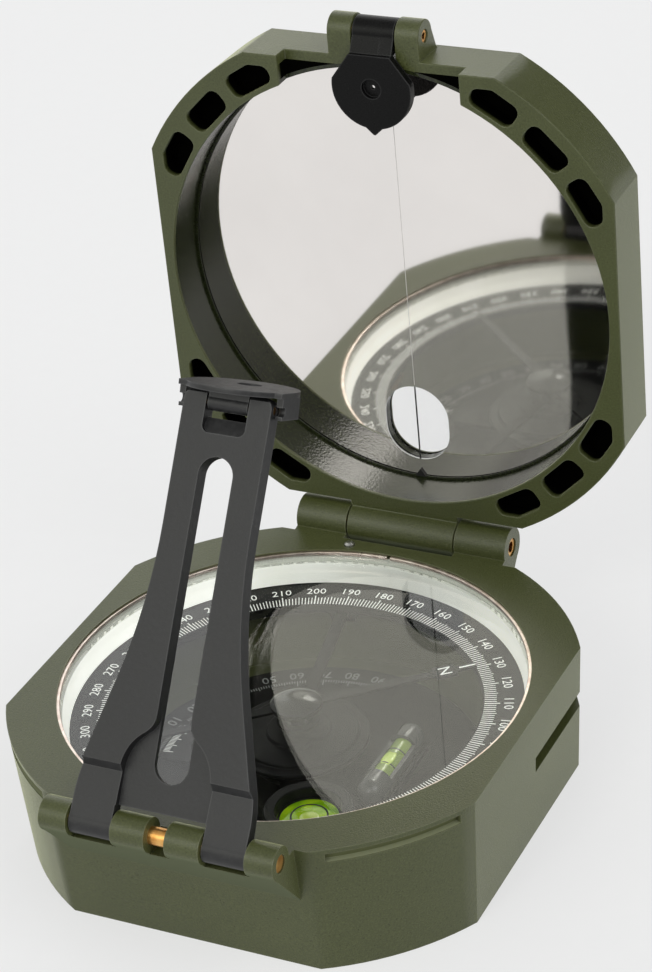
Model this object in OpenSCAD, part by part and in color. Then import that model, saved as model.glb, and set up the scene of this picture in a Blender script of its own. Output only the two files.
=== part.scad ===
// Pocket transit compass with a folding sight arm, a mirror lid and a clinometer.
// Millimetres, +Z up. The origin is on the needle axis, on the underside of the case.
// X runs along both hinges, +Y points to the lid hinge and -Y to the sight arm.

/* [Pose] */
// Lid angle, 0 closed and 90 upright
lid_open = 90; // [0:1:150]
// Sight arm angle, 0 folded on the glass
arm_raise = 56; // [0:1:180]
// Fold of the peep leaf, 0 in line with the arm
peep_fold = 82; // [0:1:90]
// Swing of the small sight, 0 folded over the mirror
sight_swing = 0; // [0:1:180]
// Bearing under the needle's marked end
needle_bearing = 130; // [0:1:359]

/* [Case] */
// Width across the flats at the top rim
case_flat = 71; // [68:0.5:74]
// How far the round corners stand out beyond the flats
corner_rise = 4.75; // [3.5:0.05:6]
// Height of the case
case_h = 20.2; // [19.8:0.1:22]
// Draft of the case wall on each side, foot to rim
case_draft = 1.1; // [0:0.1:1.5]
// Height of the floor inside the case
floor_h = 2.6; // [2.4:0.1:3]
// Rim left between the flats and the bore for ring, wall and crystal
rim_w = 2.3; // [2.1:0.05:2.6]
// Width of the ledge that carries the graduated ring
ledge_w = 2.7; // [2.2:0.1:3.2]
// Radius of the lever recess in the underside
recess_r = 13; // [12:0.5:16]
// Depth of the lever recess
recess_depth = 1.5; // [1.3:0.1:1.6]
// Height of each bracket groove in the side flats
groove_h = 2.4; // [1.5:0.1:3]
// Depth of each bracket groove
groove_depth = 1.6; // [0.8:0.1:2]
// Height of the groove's lower edge above the base
groove_z = 10.3; // [6:0.1:11]
// Place of the groove's closed end, behind the centre line
groove_start = 2.2; // [2:0.1:8]
// Height of the fingernail slots in the front corners
nail_h = 1.4; // [0.8:0.1:1.8]
// Depth of the fingernail slots
nail_depth = 1.0; // [0.5:0.1:1.6]
// Lip left above the fingernail slots
nail_lip = 0.7; // [0.5:0.1:1.2]
// Angle that each fingernail slot covers
nail_angle = 27; // [15:1:31]

/* [Dial] */
// Height of the graduated ring's face above the base
dial_z = 15; // [14.8:0.1:15.2]
// Thickness of the graduated ring
ring_t = 1.45; // [1.2:0.05:1.5]
// Width of the graduated ring
ring_w = 7; // [6:0.1:7.2]
// Width of the wall ring at its foot
wall_foot_w = 1.2; // [0.8:0.1:1.6]
// Width of the wall ring at its top edge
wall_top_w = 0.6; // [0.3:0.1:0.9]
// Thickness of the crystal
crystal_t = 1.2; // [1:0.05:1.3]
// Depth of the crystal's face below the rim
crystal_drop = 0.8; // [0.75:0.05:1]
// Width of the snap ring that shows inside the bore
snap_w = 0.45; // [0.3:0.05:1]
// Thickness of the snap ring
snap_t = 0.55; // [0.4:0.05:0.65]
// How far the snap ring sits in its groove
snap_seat = 0.35; // [0.25:0.05:0.45]
// Opening of the snap ring's split
snap_gap = 0.5; // [0.3:0.1:2]
// Thickness of the clinometer scale plate
plate_t = 1.4; // [1.2:0.05:1.6]
// Gap between the scale plate and the well's wall
plate_clear = 4.5; // [4:0.1:5]

/* [Lid] */
// Thickness of the lid, rim to back
lid_t = 9.5; // [9:0.1:10.5]
// Gap between the closed lid and the case rim
lid_gap = 0.15; // [0.1:0.05:0.3]
// Draft of the lid wall, rim to back
lid_draft = 0.2; // [0:0.1:0.6]
// Wall left between the lid's flats and its cup
lid_wall = 1.6; // [1.3:0.1:2]
// Depth of the mirror's face below the lid rim
mirror_depth = 7.05; // [6.6:0.05:7.3]
// Thickness of the mirror
mirror_t = 1.5; // [1:0.1:1.6]
// Width of the black ring round the mirror
gasket_w = 0.45; // [0.3:0.05:0.8]
// Thickness of the black ring round the mirror
gasket_t = 0.25; // [0.2:0.05:0.4]
// Width of the clear window
window_w = 10.2; // [8:0.1:11]
// Length of the clear window
window_l = 12.3; // [11.5:0.1:13]
// Distance of the window's centre from the cup's wall
window_edge = 9.25; // [8.5:0.05:10]
// Wall between the cup and the rim pockets
pocket_in = 0.9; // [0.7:0.05:1.3]
// Wall between the rim pockets and the lid's outside
pocket_out = 1.85; // [1.5:0.05:2.2]
// Angle that one rim pocket covers
pocket_angle = 11.2; // [8:0.1:12]
// Rounding of the rim pockets' corners
pocket_round = 1.3; // [0.3:0.05:1.5]
// Depth of a rim pocket
pocket_depth = 3.2; // [1:0.1:5]
// Angle between the pockets of one corner
pocket_step = 14.5; // [13.5:0.1:15]
// Width of the notch that lets the sight arm out
notch_w = 27.4; // [27:0.1:30]
// Depth of that notch below the lid rim
notch_depth = 2.6; // [2.4:0.05:2.8]
// Reach of that notch into the cup, beyond the wall
notch_reach = 3.6; // [3.4:0.1:4.5]

/* [Lid hinge] */
// Distance of the lid hinge behind the rear flat
lid_hinge_out = 3.9; // [3.6:0.1:4.5]
// Height of the lid hinge above the case rim
lid_hinge_up = 0.8; // [0.4:0.1:1.2]
// Radius of the lid hinge knuckles
lid_knuckle_r = 3.0; // [2.4:0.1:3.2]
// Length of the lid's own knuckle
lid_knuckle_l = 17.2; // [12:0.2:20]
// Overall length of the lid hinge
lid_hinge_l = 33.8; // [30:0.2:36]
// Radius of the hollow lid hinge pin
lid_pin_r = 1.4; // [1:0.05:1.7]
// Bore of the hollow lid hinge pin
lid_pin_bore_r = 0.8; // [0.4:0.05:0.9]

/* [Arm hinge] */
// Distance of the arm hinge in front of the front flat
arm_hinge_out = 3.7; // [3.5:0.1:4]
// Height of the arm hinge above the case rim
arm_hinge_up = 0.4; // [0.2:0.1:0.4]
// Radius of the arm hinge knuckles
arm_knuckle_r = 2.4; // [2:0.1:2.5]
// Overall length of the arm hinge
arm_hinge_l = 34.4; // [31:0.2:35]
// Radius of the arm hinge pin
arm_pin_r = 1.25; // [0.8:0.05:1.4]
// Width of the gap that shows the pin
pin_gap_w = 3.0; // [1.5:0.1:5]
// Height where the hinge blocks run out into the wall
block_foot_z = 11.5; // [6:0.5:12]

/* [Sight arm] */
// Thickness of the arm's legs
arm_t = 2.4; // [2.2:0.05:2.5]
// Height of the folded arm's underside above the rim
arm_lift = 0.2; // [0.15:0.05:0.3]
// Outer half width of the ears
ear_out = 12.9; // [12:0.1:13.4]
// Inner half width of the ears
ear_in = 6.7; // [6.6:0.1:7.5]
// Radius of the ears round the pin
ear_r = 1.9; // [1.8:0.05:2.2]
// Length of the ears up to the ledge
ear_l = 7.4; // [6:0.1:8.5]
// Height of the ledge between ears and legs
ledge_h = 1.0; // [0.5:0.05:1.2]
// Half width of the narrow part of the arm
arm_half = 6.35; // [6:0.05:6.6]
// Gap between the closed peep leaf and the snap ring
leaf_clear = 4.8; // [4:0.05:6]
// Length of the tines beyond the peep pin
tine_l = 1.55; // [1.4:0.05:1.8]
// Place where the wide foot of the arm ends
arm_foot_l = 6; // [5:0.1:7.2]
// Place where the arm reaches its narrow width
arm_taper_l = 29.5; // [28:0.5:36]
// Reach of the soft bend at the end of the wide foot
foot_bend = 2.6; // [1:0.1:3]
// Reach of the soft bend where the arm becomes narrow
waist_bend = 11; // [4:0.5:14]
// Start of the centre panel from the hinge axis
panel_start = 3.0; // [2.8:0.1:3.4]
// Half width of the recess in the centre panel
panel_half = 6.6; // [6.5:0.05:6.65]
// Depth of the recess in the centre panel
panel_depth = 1.6; // [1.5:0.05:1.7]
// Width of the long sighting slot
slot_w = 5; // [4.5:0.1:5.2]
// Start of the sighting slot
slot_start = 6.9; // [6:0.1:9]
// Bridge left between the sighting slot and the fork's lip
slot_bridge = 2.95; // [2:0.05:6]
// Half width of the fork at the tip
fork_half = 3.1; // [2.8:0.1:3.4]
// Depth of the fork behind the peep pin
fork_depth = 2.05; // [1.8:0.05:2.6]
// Length of the sloping lip before the fork
lip_l = 2.0; // [1.2:0.1:2.6]
// Depth of the sloping lip at the fork
lip_depth = 1.3; // [0.8:0.05:1.5]
// Rounding of the lip's corners
lip_round = 1.0; // [0.4:0.1:1.4]
// Radius of the peep pin
peep_pin_r = 0.6; // [0.4:0.05:0.65]
// Rounding of the tip's corners
tip_round = 1.6; // [0.8:0.1:2]

/* [Peep leaf] */
// Half width of the peep leaf
leaf_half = 7.5; // [7.4:0.05:8]
// How far the leaf's front edge stands before its pin
leaf_front = 0.9; // [0.6:0.1:1.1]
// Distance of the leaf's round end from its pin
leaf_end = 10.4; // [9.8:0.1:11]
// Thickness of the leaf
leaf_t = 0.7; // [0.5:0.05:0.9]
// Gap between the round ends of the tines and the leaf
leaf_over = 0.2; // [0.15:0.05:0.4]
// Radius of the peep hole
peep_hole_r = 1.7; // [1:0.1:2]
// Place of the peep hole from the leaf's pin
peep_hole_l = 4.8; // [4.2:0.1:6]
// Length of the side cheeks
cheek_l = 4.7; // [3:0.1:6]
// Drop of the side cheeks below the pin
cheek_drop = 1.1; // [0.8:0.05:1.4]
// Thickness of the side cheeks
cheek_t = 0.9; // [0.6:0.05:0.95]

/* [Small sight] */
// Distance of the small sight's pin in front of the front flat
sight_out = 2.9; // [2.8:0.05:3.2]
// Height of the small sight's pin above the lid rim
sight_up = 4.95; // [4.9:0.05:5.2]
// Radius of the lugs
lug_r = 2.35; // [2:0.05:2.35]
// Inner half width between the lugs
lug_in = 3.3; // [2.6:0.1:4]
// Outer half width over the lugs
lug_out = 6.9; // [6:0.1:9]
// Radius of the small sight's pin
sight_pin_r = 0.9; // [0.6:0.05:1.1]
// Bore of the hollow pin of the small sight
sight_pin_bore_r = 0.45; // [0.2:0.05:0.5]
// Radius of the small sight's disc
disc_r = 6.0; // [5.2:0.1:6.2]
// Distance of the disc's centre from the pin
disc_l = 6.9; // [6.6:0.1:7]
// Thickness of the disc
disc_t = 1.2; // [0.8:0.05:1.2]
// Radius of the hole in the disc
disc_hole_r = 1.45; // [0.8:0.05:2.5]
// Radius of the fine hole at the bottom of that hole
disc_peep_r = 0.3; // [0.25:0.05:0.6]
// Thickness left round the fine hole
disc_peep_t = 0.5; // [0.3:0.05:0.6]
// Distance of the pointed tip from the pin
point_l = 13.8; // [13.4:0.1:14.2]

/* [Needle] */
// How far the needle's tip reaches over the graduated ring
needle_lap = 0.2; // [0.1:0.1:0.6]
// Width of the needle at its middle
needle_w = 1.8; // [1.4:0.1:4]
// Width of the needle at its tips
needle_tip_w = 1.1; // [0.6:0.1:2]
// Width of the plate that carries the needle's mark
mark_w = 2.8; // [2:0.1:4]
// Length of the plate that carries the needle's mark
mark_l = 3.2; // [2:0.1:5]
// Distance of that plate from the needle's tip
mark_in = 3; // [2:0.1:6]
// Thickness of the needle
needle_t = 0.4; // [0.3:0.05:0.6]
// Height of the needle above the graduated ring's face
needle_up = 0.15; // [0.1:0.05:0.3]
// Radius of the needle's cap
cap_r = 3.7; // [3:0.1:4]
// Height of the needle's cap
cap_h = 1.45; // [1.2:0.05:1.6]

/* [Clinometer] */
// Radius of the clinometer shaft
shaft_r = 2.0; // [1.5:0.1:2.4]
// Radius of the bush in the floor
bush_r = 3.4; // [3:0.1:3.6]
// Top of the bush above the base
bush_top = 6; // [5:0.1:6]
// Radius of the hub's broad disc
hub_r = 10; // [9:0.1:11]
// Radius of the hub's raised ring
hub_ring_r = 8.5; // [6:0.1:8.8]
// Radius of the hub's boss
hub_boss_r = 4.6; // [4:0.1:5]
// Radius of the needle's pivot post
pivot_r = 1.2; // [0.8:0.05:1.3]
// Place of the tube level beside the axis
tube_x = 14.4; // [14:0.1:16]
// Height of the tube level's axis
tube_z = 8.9; // [8.7:0.1:9]
// Radius of the tube level's case
tube_r = 2.15; // [2.1:0.05:2.4]
// Length of the tube level's case
tube_l = 17.6; // [14:0.2:19]
// Radius of the tube level's vial
tube_vial_r = 1.6; // [1.3:0.05:1.7]
// Length of the opening over the vial
tube_open_l = 8.4; // [6:0.2:12]
// Radius of the round level's case
round_r = 6.2; // [5.4:0.1:6.8]
// Wall of the round level's case
round_wall = 1.6; // [0.8:0.1:2]
// Angle of the round level, to the right of the front
round_turn = 29.6; // [29:0.1:33]
// Gap between the round level and the well's wall
level_clear = 5.4; // [5:0.1:7]
// Gap between the round level and the tube level
level_gap = 1.3; // [0.6:0.1:2]
// Gap between the vernier and the well's wall
vernier_clear = 9.2; // [8.5:0.1:10]
// Width of the vernier
vernier_w = 9; // [5:0.2:12]
// Length of the lever under the case
lever_l = 11.4; // [8:0.1:11.6]
// Width of the lever under the case
lever_w = 4; // [2.5:0.1:6]

/* [Adjusters] */
// Radius of the roller that turns the graduated ring
roller_r = 1.8; // [1.4:0.05:2]
// Radius of the adjusting screw's shank
screw_r = 0.8; // [0.5:0.05:1]
// Radius of the adjusting screw's head
screw_head_r = 1.6; // [1.2:0.05:1.65]
// Radius of the needle lift pin
lift_pin_r = 0.8; // [0.5:0.05:0.85]
// Height of the lift pin above the rim
lift_pin_up = 0.5; // [0.3:0.05:0.55]
// Distance of the lift pin outside the bore
lift_pin_out = 1.55; // [1.5:0.05:1.6]
// Place of the lift pin to the left of the centre line
lift_pin_x = 7.1; // [5.5:0.1:8]
// Width of the needle lifter
lifter_w = 1.8; // [1.2:0.1:2]
// Thickness of the needle lifter
lifter_t = 0.4; // [0.3:0.05:0.5]
// Distance of the lifter's pivot inside the well's wall
lifter_pivot_in = 2.3; // [2:0.1:2.6]

/* [Clearances] */
// Radial running clearance of pins and shafts
run_fit = 0.05; // [0.02:0.01:0.08]
// Side clearance of hinge knuckles and ears
side_gap = 0.2; // [0.1:0.05:0.3]
// Clearance round swinging parts
swing_gap = 0.4; // [0.3:0.05:0.4]
// Gap under parts that turn on a face
lay_gap = 0.05; // [0.03:0.01:0.1]

/* [Hidden] */
$fn = 96;
eps = 0.01;
far = 200;
slack = 0.02;
web_share = 0.96;
half = case_flat / 2;
case_r = half + corner_rise;
rim_z = case_h;
draft_angle = atan(case_draft / case_h);
block_root = 1;
// Case and dial radii, inwards from the flats
bore_r = half - rim_w;
well_r = bore_r - ledge_w;
ring_ri = bore_r - ring_w;
wall_foot_r = bore_r - wall_foot_w;
wall_top_r = bore_r - wall_top_w;
snap_ri = bore_r - snap_w;
snap_ro = bore_r + snap_seat;
snap_groove_r = snap_ro + lay_gap;
snap_z = rim_z - crystal_drop + eps;
crystal_z = rim_z - crystal_drop - crystal_t;
ledge_z = dial_z - ring_t - lay_gap;
wall_z = dial_z + 2 * lay_gap;
plate_top = floor_h + plate_t;
// Lid, drawn closed
lid_y = half + lid_hinge_out;
lid_z = rim_z + lid_hinge_up;
lid_rim_z = rim_z + lid_gap;
lid_back_z = lid_rim_z + lid_t;
lid_draft_angle = atan(lid_draft / lid_t);
cup_r = half - lid_wall;
mirror_z = lid_rim_z + mirror_depth;
window_y = cup_r - window_edge;
pocket_ri = cup_r + pocket_in;
pocket_ro = case_r - pocket_out;
pocket_half = half - pocket_out;
lug_edge = 0.9;
knuckle_edge = 1.2;
// Sight arm and peep leaf, drawn from the arm's hinge axis
arm_y = -half - arm_hinge_out;
arm_z = rim_z + arm_hinge_up;
arm_under = arm_lift - arm_hinge_up;
arm_top = arm_under + arm_t;
ear_top = arm_top - ledge_h;
panel_top = arm_top - panel_depth;
peep_pin_l = snap_ri - arm_y - leaf_end - leaf_clear;
arm_l = peep_pin_l + tine_l;
fork_start = peep_pin_l - fork_depth;
lip_start = fork_start - lip_l;
lip_rise = 0.4;
slot_end = lip_start - slot_bridge;
peep_z = (arm_under + arm_top) / 2;
peep_barrel_r = 1.15;
leaf_up = tine_l + leaf_over;
leaf_mid = leaf_end - leaf_half;
tongue_back = 1.1;
cheek_front = 0.3;
ear_touch = touch([ear_l, ear_top], [0, 0], ear_r, -1);
// Small sight, drawn from its pin
sight_y = -half - sight_out;
sight_z = lid_rim_z + sight_up;
disc_top = -(sight_up - notch_depth) - swing_gap;
disc_low = disc_top - disc_t;
neck_low_l = 3.2;
shoulder_l = 2.0;
shoulder_drop = 1.15;
shoulder_end = disc_l - shoulder_drop;
shoulder_half = sqrt(disc_r * disc_r - pow(disc_l - shoulder_end, 2));
// Recess of the arm round the folded sight's disc, and its curve to the slot
sight_at = disc_l + sight_y - arm_y;
bend_steps = 8;
arch_turn = 54;
arch_run = 1.6;
neck_top_l = 2.4;
neck_back_l = 1.7;
neck_back_z = -0.6;
nib_half = 2.4;
nib_tip = 0.15;
nib_root = disc_l + disc_r * 0.8;
neck_wall = 0.55;
neck_end = disc_l - disc_hole_r - neck_wall;
ridge_l = 1.2;
ridge_side = 1.2;
ridge_drop = 0.8;
// Needle and clinometer
needle_l = ring_ri + needle_lap;
needle_z = dial_z + needle_up;
jewel_z = needle_z + needle_t + cap_h / 2;
cap_edge = 0.4;
cap_dome_r = (cap_r * cap_r + pow(cap_h - cap_edge, 2)) / (2 * (cap_h - cap_edge));
cap_bore_r = 1.6;
hub_gap = 0.3;
hub_rise = 3.3;
hub_socket = 1.5;
hub_disc_t = 0.8;
hub_ring_h = 0.6;
hub_boss_h = 0.6;
hub_low = bush_top + hub_gap;
hub_disc_z = hub_low + hub_rise;
hub_top = hub_disc_z + hub_disc_t + hub_ring_h + hub_boss_h;
pivot_tip_r = 0.1;
pivot_shoulder = 1;
bracket_t = 0.7;
bracket_r = 7;
bracket_z = hub_low;
bracket_top = bracket_z + bracket_t;
bracket_inset = 1;
tube_end = 1.8;
tube_foot_in = 0.4;
tube_open_up = 0.8;
round_vial_r = round_r - round_wall;
round_d = well_r - level_clear - round_r;
round_x = round_d * sin(round_turn);
round_y = round_d * cos(round_turn);
level_aside = tube_x - tube_r - round_x;
level_apart = max(eps, pow(round_r + level_gap, 2) - pow(level_aside, 2));
tube_front = -round_y + sqrt(level_apart);
tube_mid = tube_front + tube_l / 2;
round_floor = 0.8;
round_h = 4.4;
round_rim = 1.2;
dome_r = 18;
vernier_r = well_r - vernier_clear;
vernier_t = 0.6;
vernier_up = 0.3;
vernier_strap = 5;
vernier_bend = 16;
lever_t = 0.9;
lever_eye = 1.6;
lever_gap = 0.25;
lever_z = recess_depth - lever_t - lever_gap;
// Adjusting screw, lift pin and lifter
roller_z = dial_z - ring_t - lay_gap - roller_r;
roller_l = 2.6;
roller_out = 0.3;
roller_in_r = well_r - roller_out - roller_l;
head_t = 1.2;
head_slot_w = 0.4;
head_slot_depth = 0.6;
screw_reach = 1;
lift_pin_pcr = bore_r + lift_pin_out;
lift_y = sqrt(lift_pin_pcr * lift_pin_pcr - lift_pin_x * lift_pin_x);
lift_turn = atan2(lift_y, -lift_pin_x);
lift_crown = 0.25;
lifter_drop = 0.5;
lifter_z = ledge_z - lifter_drop - lifter_t;
lifter_mid = lifter_z + lifter_t / 2;
lifter_pivot_r = well_r - lifter_pivot_in;
lifter_eye_r = 3;
lifter_hole_r = 1.8;
lifter_tail = 0.3;
lifter_end = lift_pin_pcr + lifter_tail;
lifter_barrel_r = 0.6;
lifter_pin_r = 0.3;
lifter_cheek = 0.8;
lifter_foot = 1.2;
lifter_room = 0.7;
olive = "#5d5e48";
black = "#3c3c3d";
brass = "#c08a45";
steel = "#b9bab8";
white = "#e9e9e4";
dark = "#2b2c2c";

// Places a child that is drawn with the lid closed
module lid_frame() {
    translate([0, lid_y, lid_z])
        rotate([-lid_open, 0, 0])
            translate([0, -lid_y, -lid_z])
                children();
}

// Places a child that is drawn along +Y from the arm's hinge axis
module arm_frame() {
    translate([0, arm_y, arm_z])
        rotate([arm_raise, 0, 0])
            children();
}

// Places a child that is drawn along +Y from the peep leaf's pin
module peep_frame() {
    arm_frame()
        translate([0, peep_pin_l, peep_z])
            rotate([-peep_fold, 0, 0])
                children();
}

// Places a child that is drawn along +Y from the small sight's pin
module sight_frame() {
    lid_frame()
        translate([0, sight_y, sight_z])
            rotate([-sight_swing, 0, 0])
                children();
}

// Round bar along X between two places
module bar_x(x0, x1, y, z, r) {
    translate([x0, y, z])
        rotate([0, 90, 0])
            cylinder(h = x1 - x0, r = r);
}

// Profile in Y and Z, carried along X between two places
module slab_x(x0, x1, points) {
    translate([x0, 0, 0])
        rotate([90, 0, 90])
            linear_extrude(height = x1 - x0)
                polygon(points);
}

// Repeats a child on the left and the right
module both_sides() {
    children();
    mirror([1, 0, 0])
        children();
}

// Block with four drafted flats and four round corners, wider at the top
module drafted_block(h, low_r, low_half, lean) {
    difference() {
        cylinder(h = h, r1 = low_r, r2 = low_r + h * tan(lean));
        for (turn = [0 : 90 : 270])
            rotate([0, 0, turn])
                translate([low_half, 0, 0])
                    rotate([0, lean, 0])
                        translate([0, -far / 2, -far / 2])
                            cube([far, far, far]);
    }
}

// Point where a line from q meets a circle round c just inside its edge, on the side given by sign
function touch(q, c, edge_r, sign) =
    let (r = edge_r * web_share,
        d = norm(c - q),
        a = atan2(c[1] - q[1], c[0] - q[0]) + sign * asin(r / d),
        l = sqrt(d * d - r * r))
    [q[0] + l * cos(a), q[1] + l * sin(a)];

// Front and rear hinge blocks of the case before their slots are cut
module front_block() {
    c = [arm_y, arm_z];
    foot = [-half + case_draft / 2, block_foot_z];
    inner = foot[0] + 1;
    slab_x(-arm_hinge_l / 2, arm_hinge_l / 2,
        [[inner, block_foot_z], foot, touch(foot, c, arm_knuckle_r, 1), c,
            [arm_y + arm_knuckle_r, rim_z], [inner, rim_z]]);
    bar_x(-arm_hinge_l / 2, arm_hinge_l / 2, arm_y, arm_z, arm_knuckle_r);
}

module rear_block() {
    c = [lid_y, lid_z];
    foot = [half - case_draft / 2, block_foot_z];
    inner = foot[0] - 1;
    x0 = lid_knuckle_l / 2 + side_gap;
    both_sides() {
        slab_x(x0, lid_hinge_l / 2,
            [[inner, block_foot_z], foot, touch(foot, c, lid_knuckle_r, -1), c,
                [half + side_gap, rim_z], [inner, rim_z]]);
        bar_x(x0, lid_hinge_l / 2, lid_y, lid_z, lid_knuckle_r);
    }
}

// Room for an ear or the pin gap, round the arm's hinge axis
module hinge_slot(x0, x1) {
    bar_x(x0, x1, arm_y, arm_z, max(ear_r, arm_knuckle_r) + swing_gap / 2);
}

// One fingernail slot round the front right corner
module nail_slot() {
    z = rim_z - nail_lip - nail_h;
    turn = -45;
    a0 = turn - nail_angle / 2;
    a1 = turn + nail_angle / 2;
    reach = 2 * case_r;
    intersection() {
        translate([0, 0, z])
            difference() {
                cylinder(h = nail_h, r = reach);
                translate([0, 0, -eps])
                    cylinder(h = nail_h + 2 * eps, r = case_r - nail_depth);
            }
        linear_extrude(height = rim_z)
            polygon([[0, 0], [reach * cos(a0), reach * sin(a0)], [reach * cos(a1), reach * sin(a1)]]);
    }
}

module body_case() {
    color(olive)
        difference() {
            union() {
                drafted_block(case_h, case_r - case_draft, half - case_draft, draft_angle);
                front_block();
                rear_block();
            }
            // Stepped well for levels, ring, wall and crystal
            translate([0, 0, floor_h])
                cylinder(h = far, r = well_r);
            translate([0, 0, ledge_z])
                cylinder(h = far, r = bore_r);
            translate([0, 0, snap_z - eps])
                cylinder(h = snap_t + 2 * slack, r = snap_groove_r);
            // Clinometer bush and lever recess
            translate([0, 0, -far / 2])
                cylinder(h = far, r = bush_r);
            translate([0, 0, -far])
                cylinder(h = far + recess_depth, r = recess_r);
            // Arm hinge: two ear slots, the pin gap and the pin's bore
            both_sides()
                hinge_slot(ear_in - side_gap, ear_out + side_gap);
            hinge_slot(-pin_gap_w / 2, pin_gap_w / 2);
            bar_x(-far / 2, far / 2, arm_y, arm_z, arm_pin_r);
            bar_x(-far / 2, far / 2, lid_y, lid_z, lid_pin_r);
            // Bracket grooves, closed in front and open to the rear
            both_sides()
                translate([half - case_draft / 2 - groove_depth, groove_start, groove_z])
                    cube([far, far, groove_h]);
            both_sides()
                nail_slot();
            // Lift pin, lifter slot and adjusting screw
            translate([-lift_pin_x, lift_y, lifter_z])
                cylinder(h = far, r = lift_pin_r + run_fit);
            rotate([0, 0, lift_turn])
                translate([well_r - screw_reach, -lifter_w / 2 - side_gap, lifter_z - lifter_room])
                    cube([lifter_end + side_gap - well_r + screw_reach, lifter_w + 2 * side_gap,
                        ledge_z - lifter_z + lifter_room + side_gap]);
            bar_x(-far, -well_r + screw_reach, 0, roller_z, screw_r + run_fit);
            bar_x(-far, -half + head_t + lay_gap + case_draft / 2, 0, roller_z,
                screw_head_r + run_fit);
        }
}

module scale_plate() {
    color(dark)
        translate([0, 0, floor_h])
            difference() {
                cylinder(h = plate_t, r = well_r - plate_clear);
                translate([0, 0, -eps])
                    cylinder(h = plate_t + 2 * eps, r = bush_r + side_gap);
            }
}

module clinometer_bush() {
    color(brass)
        translate([0, 0, recess_depth])
            difference() {
                cylinder(h = bush_top - recess_depth, r = bush_r);
                translate([0, 0, -eps])
                    cylinder(h = bush_top, r = shaft_r + run_fit);
            }
}

module wall_ring() {
    h = crystal_z - wall_z;
    color(white)
        translate([0, 0, wall_z])
            difference() {
                cylinder(h = h, r = bore_r);
                translate([0, 0, -eps])
                    cylinder(h = h + 2 * eps, r1 = wall_foot_r, r2 = wall_top_r);
            }
}

module crystal() {
    color("#cfd8d8", 0.35)
        translate([0, 0, crystal_z])
            cylinder(h = crystal_t, r = bore_r - slack);
}

module snap_ring() {
    color(steel)
        translate([0, 0, snap_z])
            difference() {
                cylinder(h = snap_t, r = snap_ro);
                translate([0, 0, -eps])
                    cylinder(h = snap_t + 2 * eps, r = snap_ri);
                translate([-snap_gap, 0, -eps])
                    cube([snap_gap, far, snap_t + 2 * eps]);
            }
}

module lid_hinge_pin() {
    l = lid_hinge_l - 2 * side_gap;
    color(brass)
        difference() {
            bar_x(-l / 2, l / 2, lid_y, lid_z, lid_pin_r);
            bar_x(-far / 2, far / 2, lid_y, lid_z, lid_pin_bore_r);
        }
}

module arm_hinge_pin() {
    l = arm_hinge_l - 2 * side_gap;
    color(brass)
        bar_x(-l / 2, l / 2, arm_y, arm_z, arm_pin_r);
}

module lifter_bracket() {
    w = lifter_w + 2 * side_gap;
    cheek = lifter_cheek;
    z0 = lifter_z - lifter_foot;
    z1 = ledge_z - side_gap;
    in_r = lifter_pivot_r - lifter_barrel_r - side_gap;
    color(steel)
        difference() {
            intersection() {
                rotate([0, 0, lift_turn])
                    translate([in_r, -w / 2 - cheek, z0])
                        cube([far, w + 2 * cheek, z1 - z0]);
                cylinder(h = far, r = well_r);
            }
            rotate([0, 0, lift_turn])
                translate([in_r - eps, -w / 2, lifter_mid - lifter_barrel_r - side_gap])
                    cube([far, w, far]);
            rotate([0, 0, lift_turn])
                translate([lifter_pivot_r, far / 2, lifter_mid])
                    rotate([90, 0, 0])
                        cylinder(h = far, r = lifter_pin_r);
        }
}

module lifter_pin() {
    w = lifter_w + 2 * side_gap + 2 * lifter_cheek;
    color(brass)
        rotate([0, 0, lift_turn])
            translate([lifter_pivot_r, w / 2, lifter_mid])
                rotate([90, 0, 0])
                    cylinder(h = w, r = lifter_pin_r);
}

// Clear window: a slot with round ends along Y
module window_shape(z, h, gap) {
    r = window_w / 2 - gap;
    l = window_l - window_w;
    translate([0, window_y - l / 2, z])
        cylinder(h = h, r = r);
    translate([0, window_y + l / 2, z])
        cylinder(h = h, r = r);
    translate([-r, window_y - l / 2, z])
        cube([2 * r, l, h]);
}

// A point at a radius and an angle
function polar(r, a) = [r * cos(a), r * sin(a)];

// Outer radius of a rim pocket at an angle: the corner's round or the flat, less the wall
function pocket_r(a) = min(pocket_ro, pocket_half / max(cos(a), sin(a)));

// The four or five corners of the pocket between two angles
function pocket_corners(a0, a1) = let (edge = acos(pocket_half / pocket_ro))
    concat([polar(pocket_ri, a1), polar(pocket_ri, a0), polar(pocket_r(a0), a0)],
        [for (a = [edge, 90 - edge]) if (a > a0 && a < a1) polar(pocket_ro, a)],
        [polar(pocket_r(a1), a1)]);

// A polygon's corners, each rounded with a short arc
function rounded(points, r, steps) = let (n = len(points))
    [for (i = [0 : n - 1])
        let (q = points[i],
            u = (points[(i + n - 1) % n] - q) / norm(points[(i + n - 1) % n] - q),
            v = (points[(i + 1) % n] - q) / norm(points[(i + 1) % n] - q),
            open = acos(u * v),
            mid = (u + v) / norm(u + v),
            centre = q + mid * r / sin(open / 2),
            side = u[0] * v[1] - u[1] * v[0] > 0 ? 1 : -1,
            start = atan2(-mid[1], -mid[0]))
        for (k = [0 : steps])
            centre + polar(r, start + side * (90 - open / 2) * (1 - 2 * k / steps))];

// The three blind pockets in the lid rim at one corner
module rim_pockets(corner) {
    for (step = [-1 : 1])
        let (mid = 45 + step * pocket_step)
        rotate([0, 0, corner - 45])
            translate([0, 0, lid_rim_z - eps])
                linear_extrude(height = pocket_depth)
                    polygon(rounded(pocket_corners(mid - pocket_angle / 2, mid + pocket_angle / 2),
                        pocket_round, 4));
}

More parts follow.
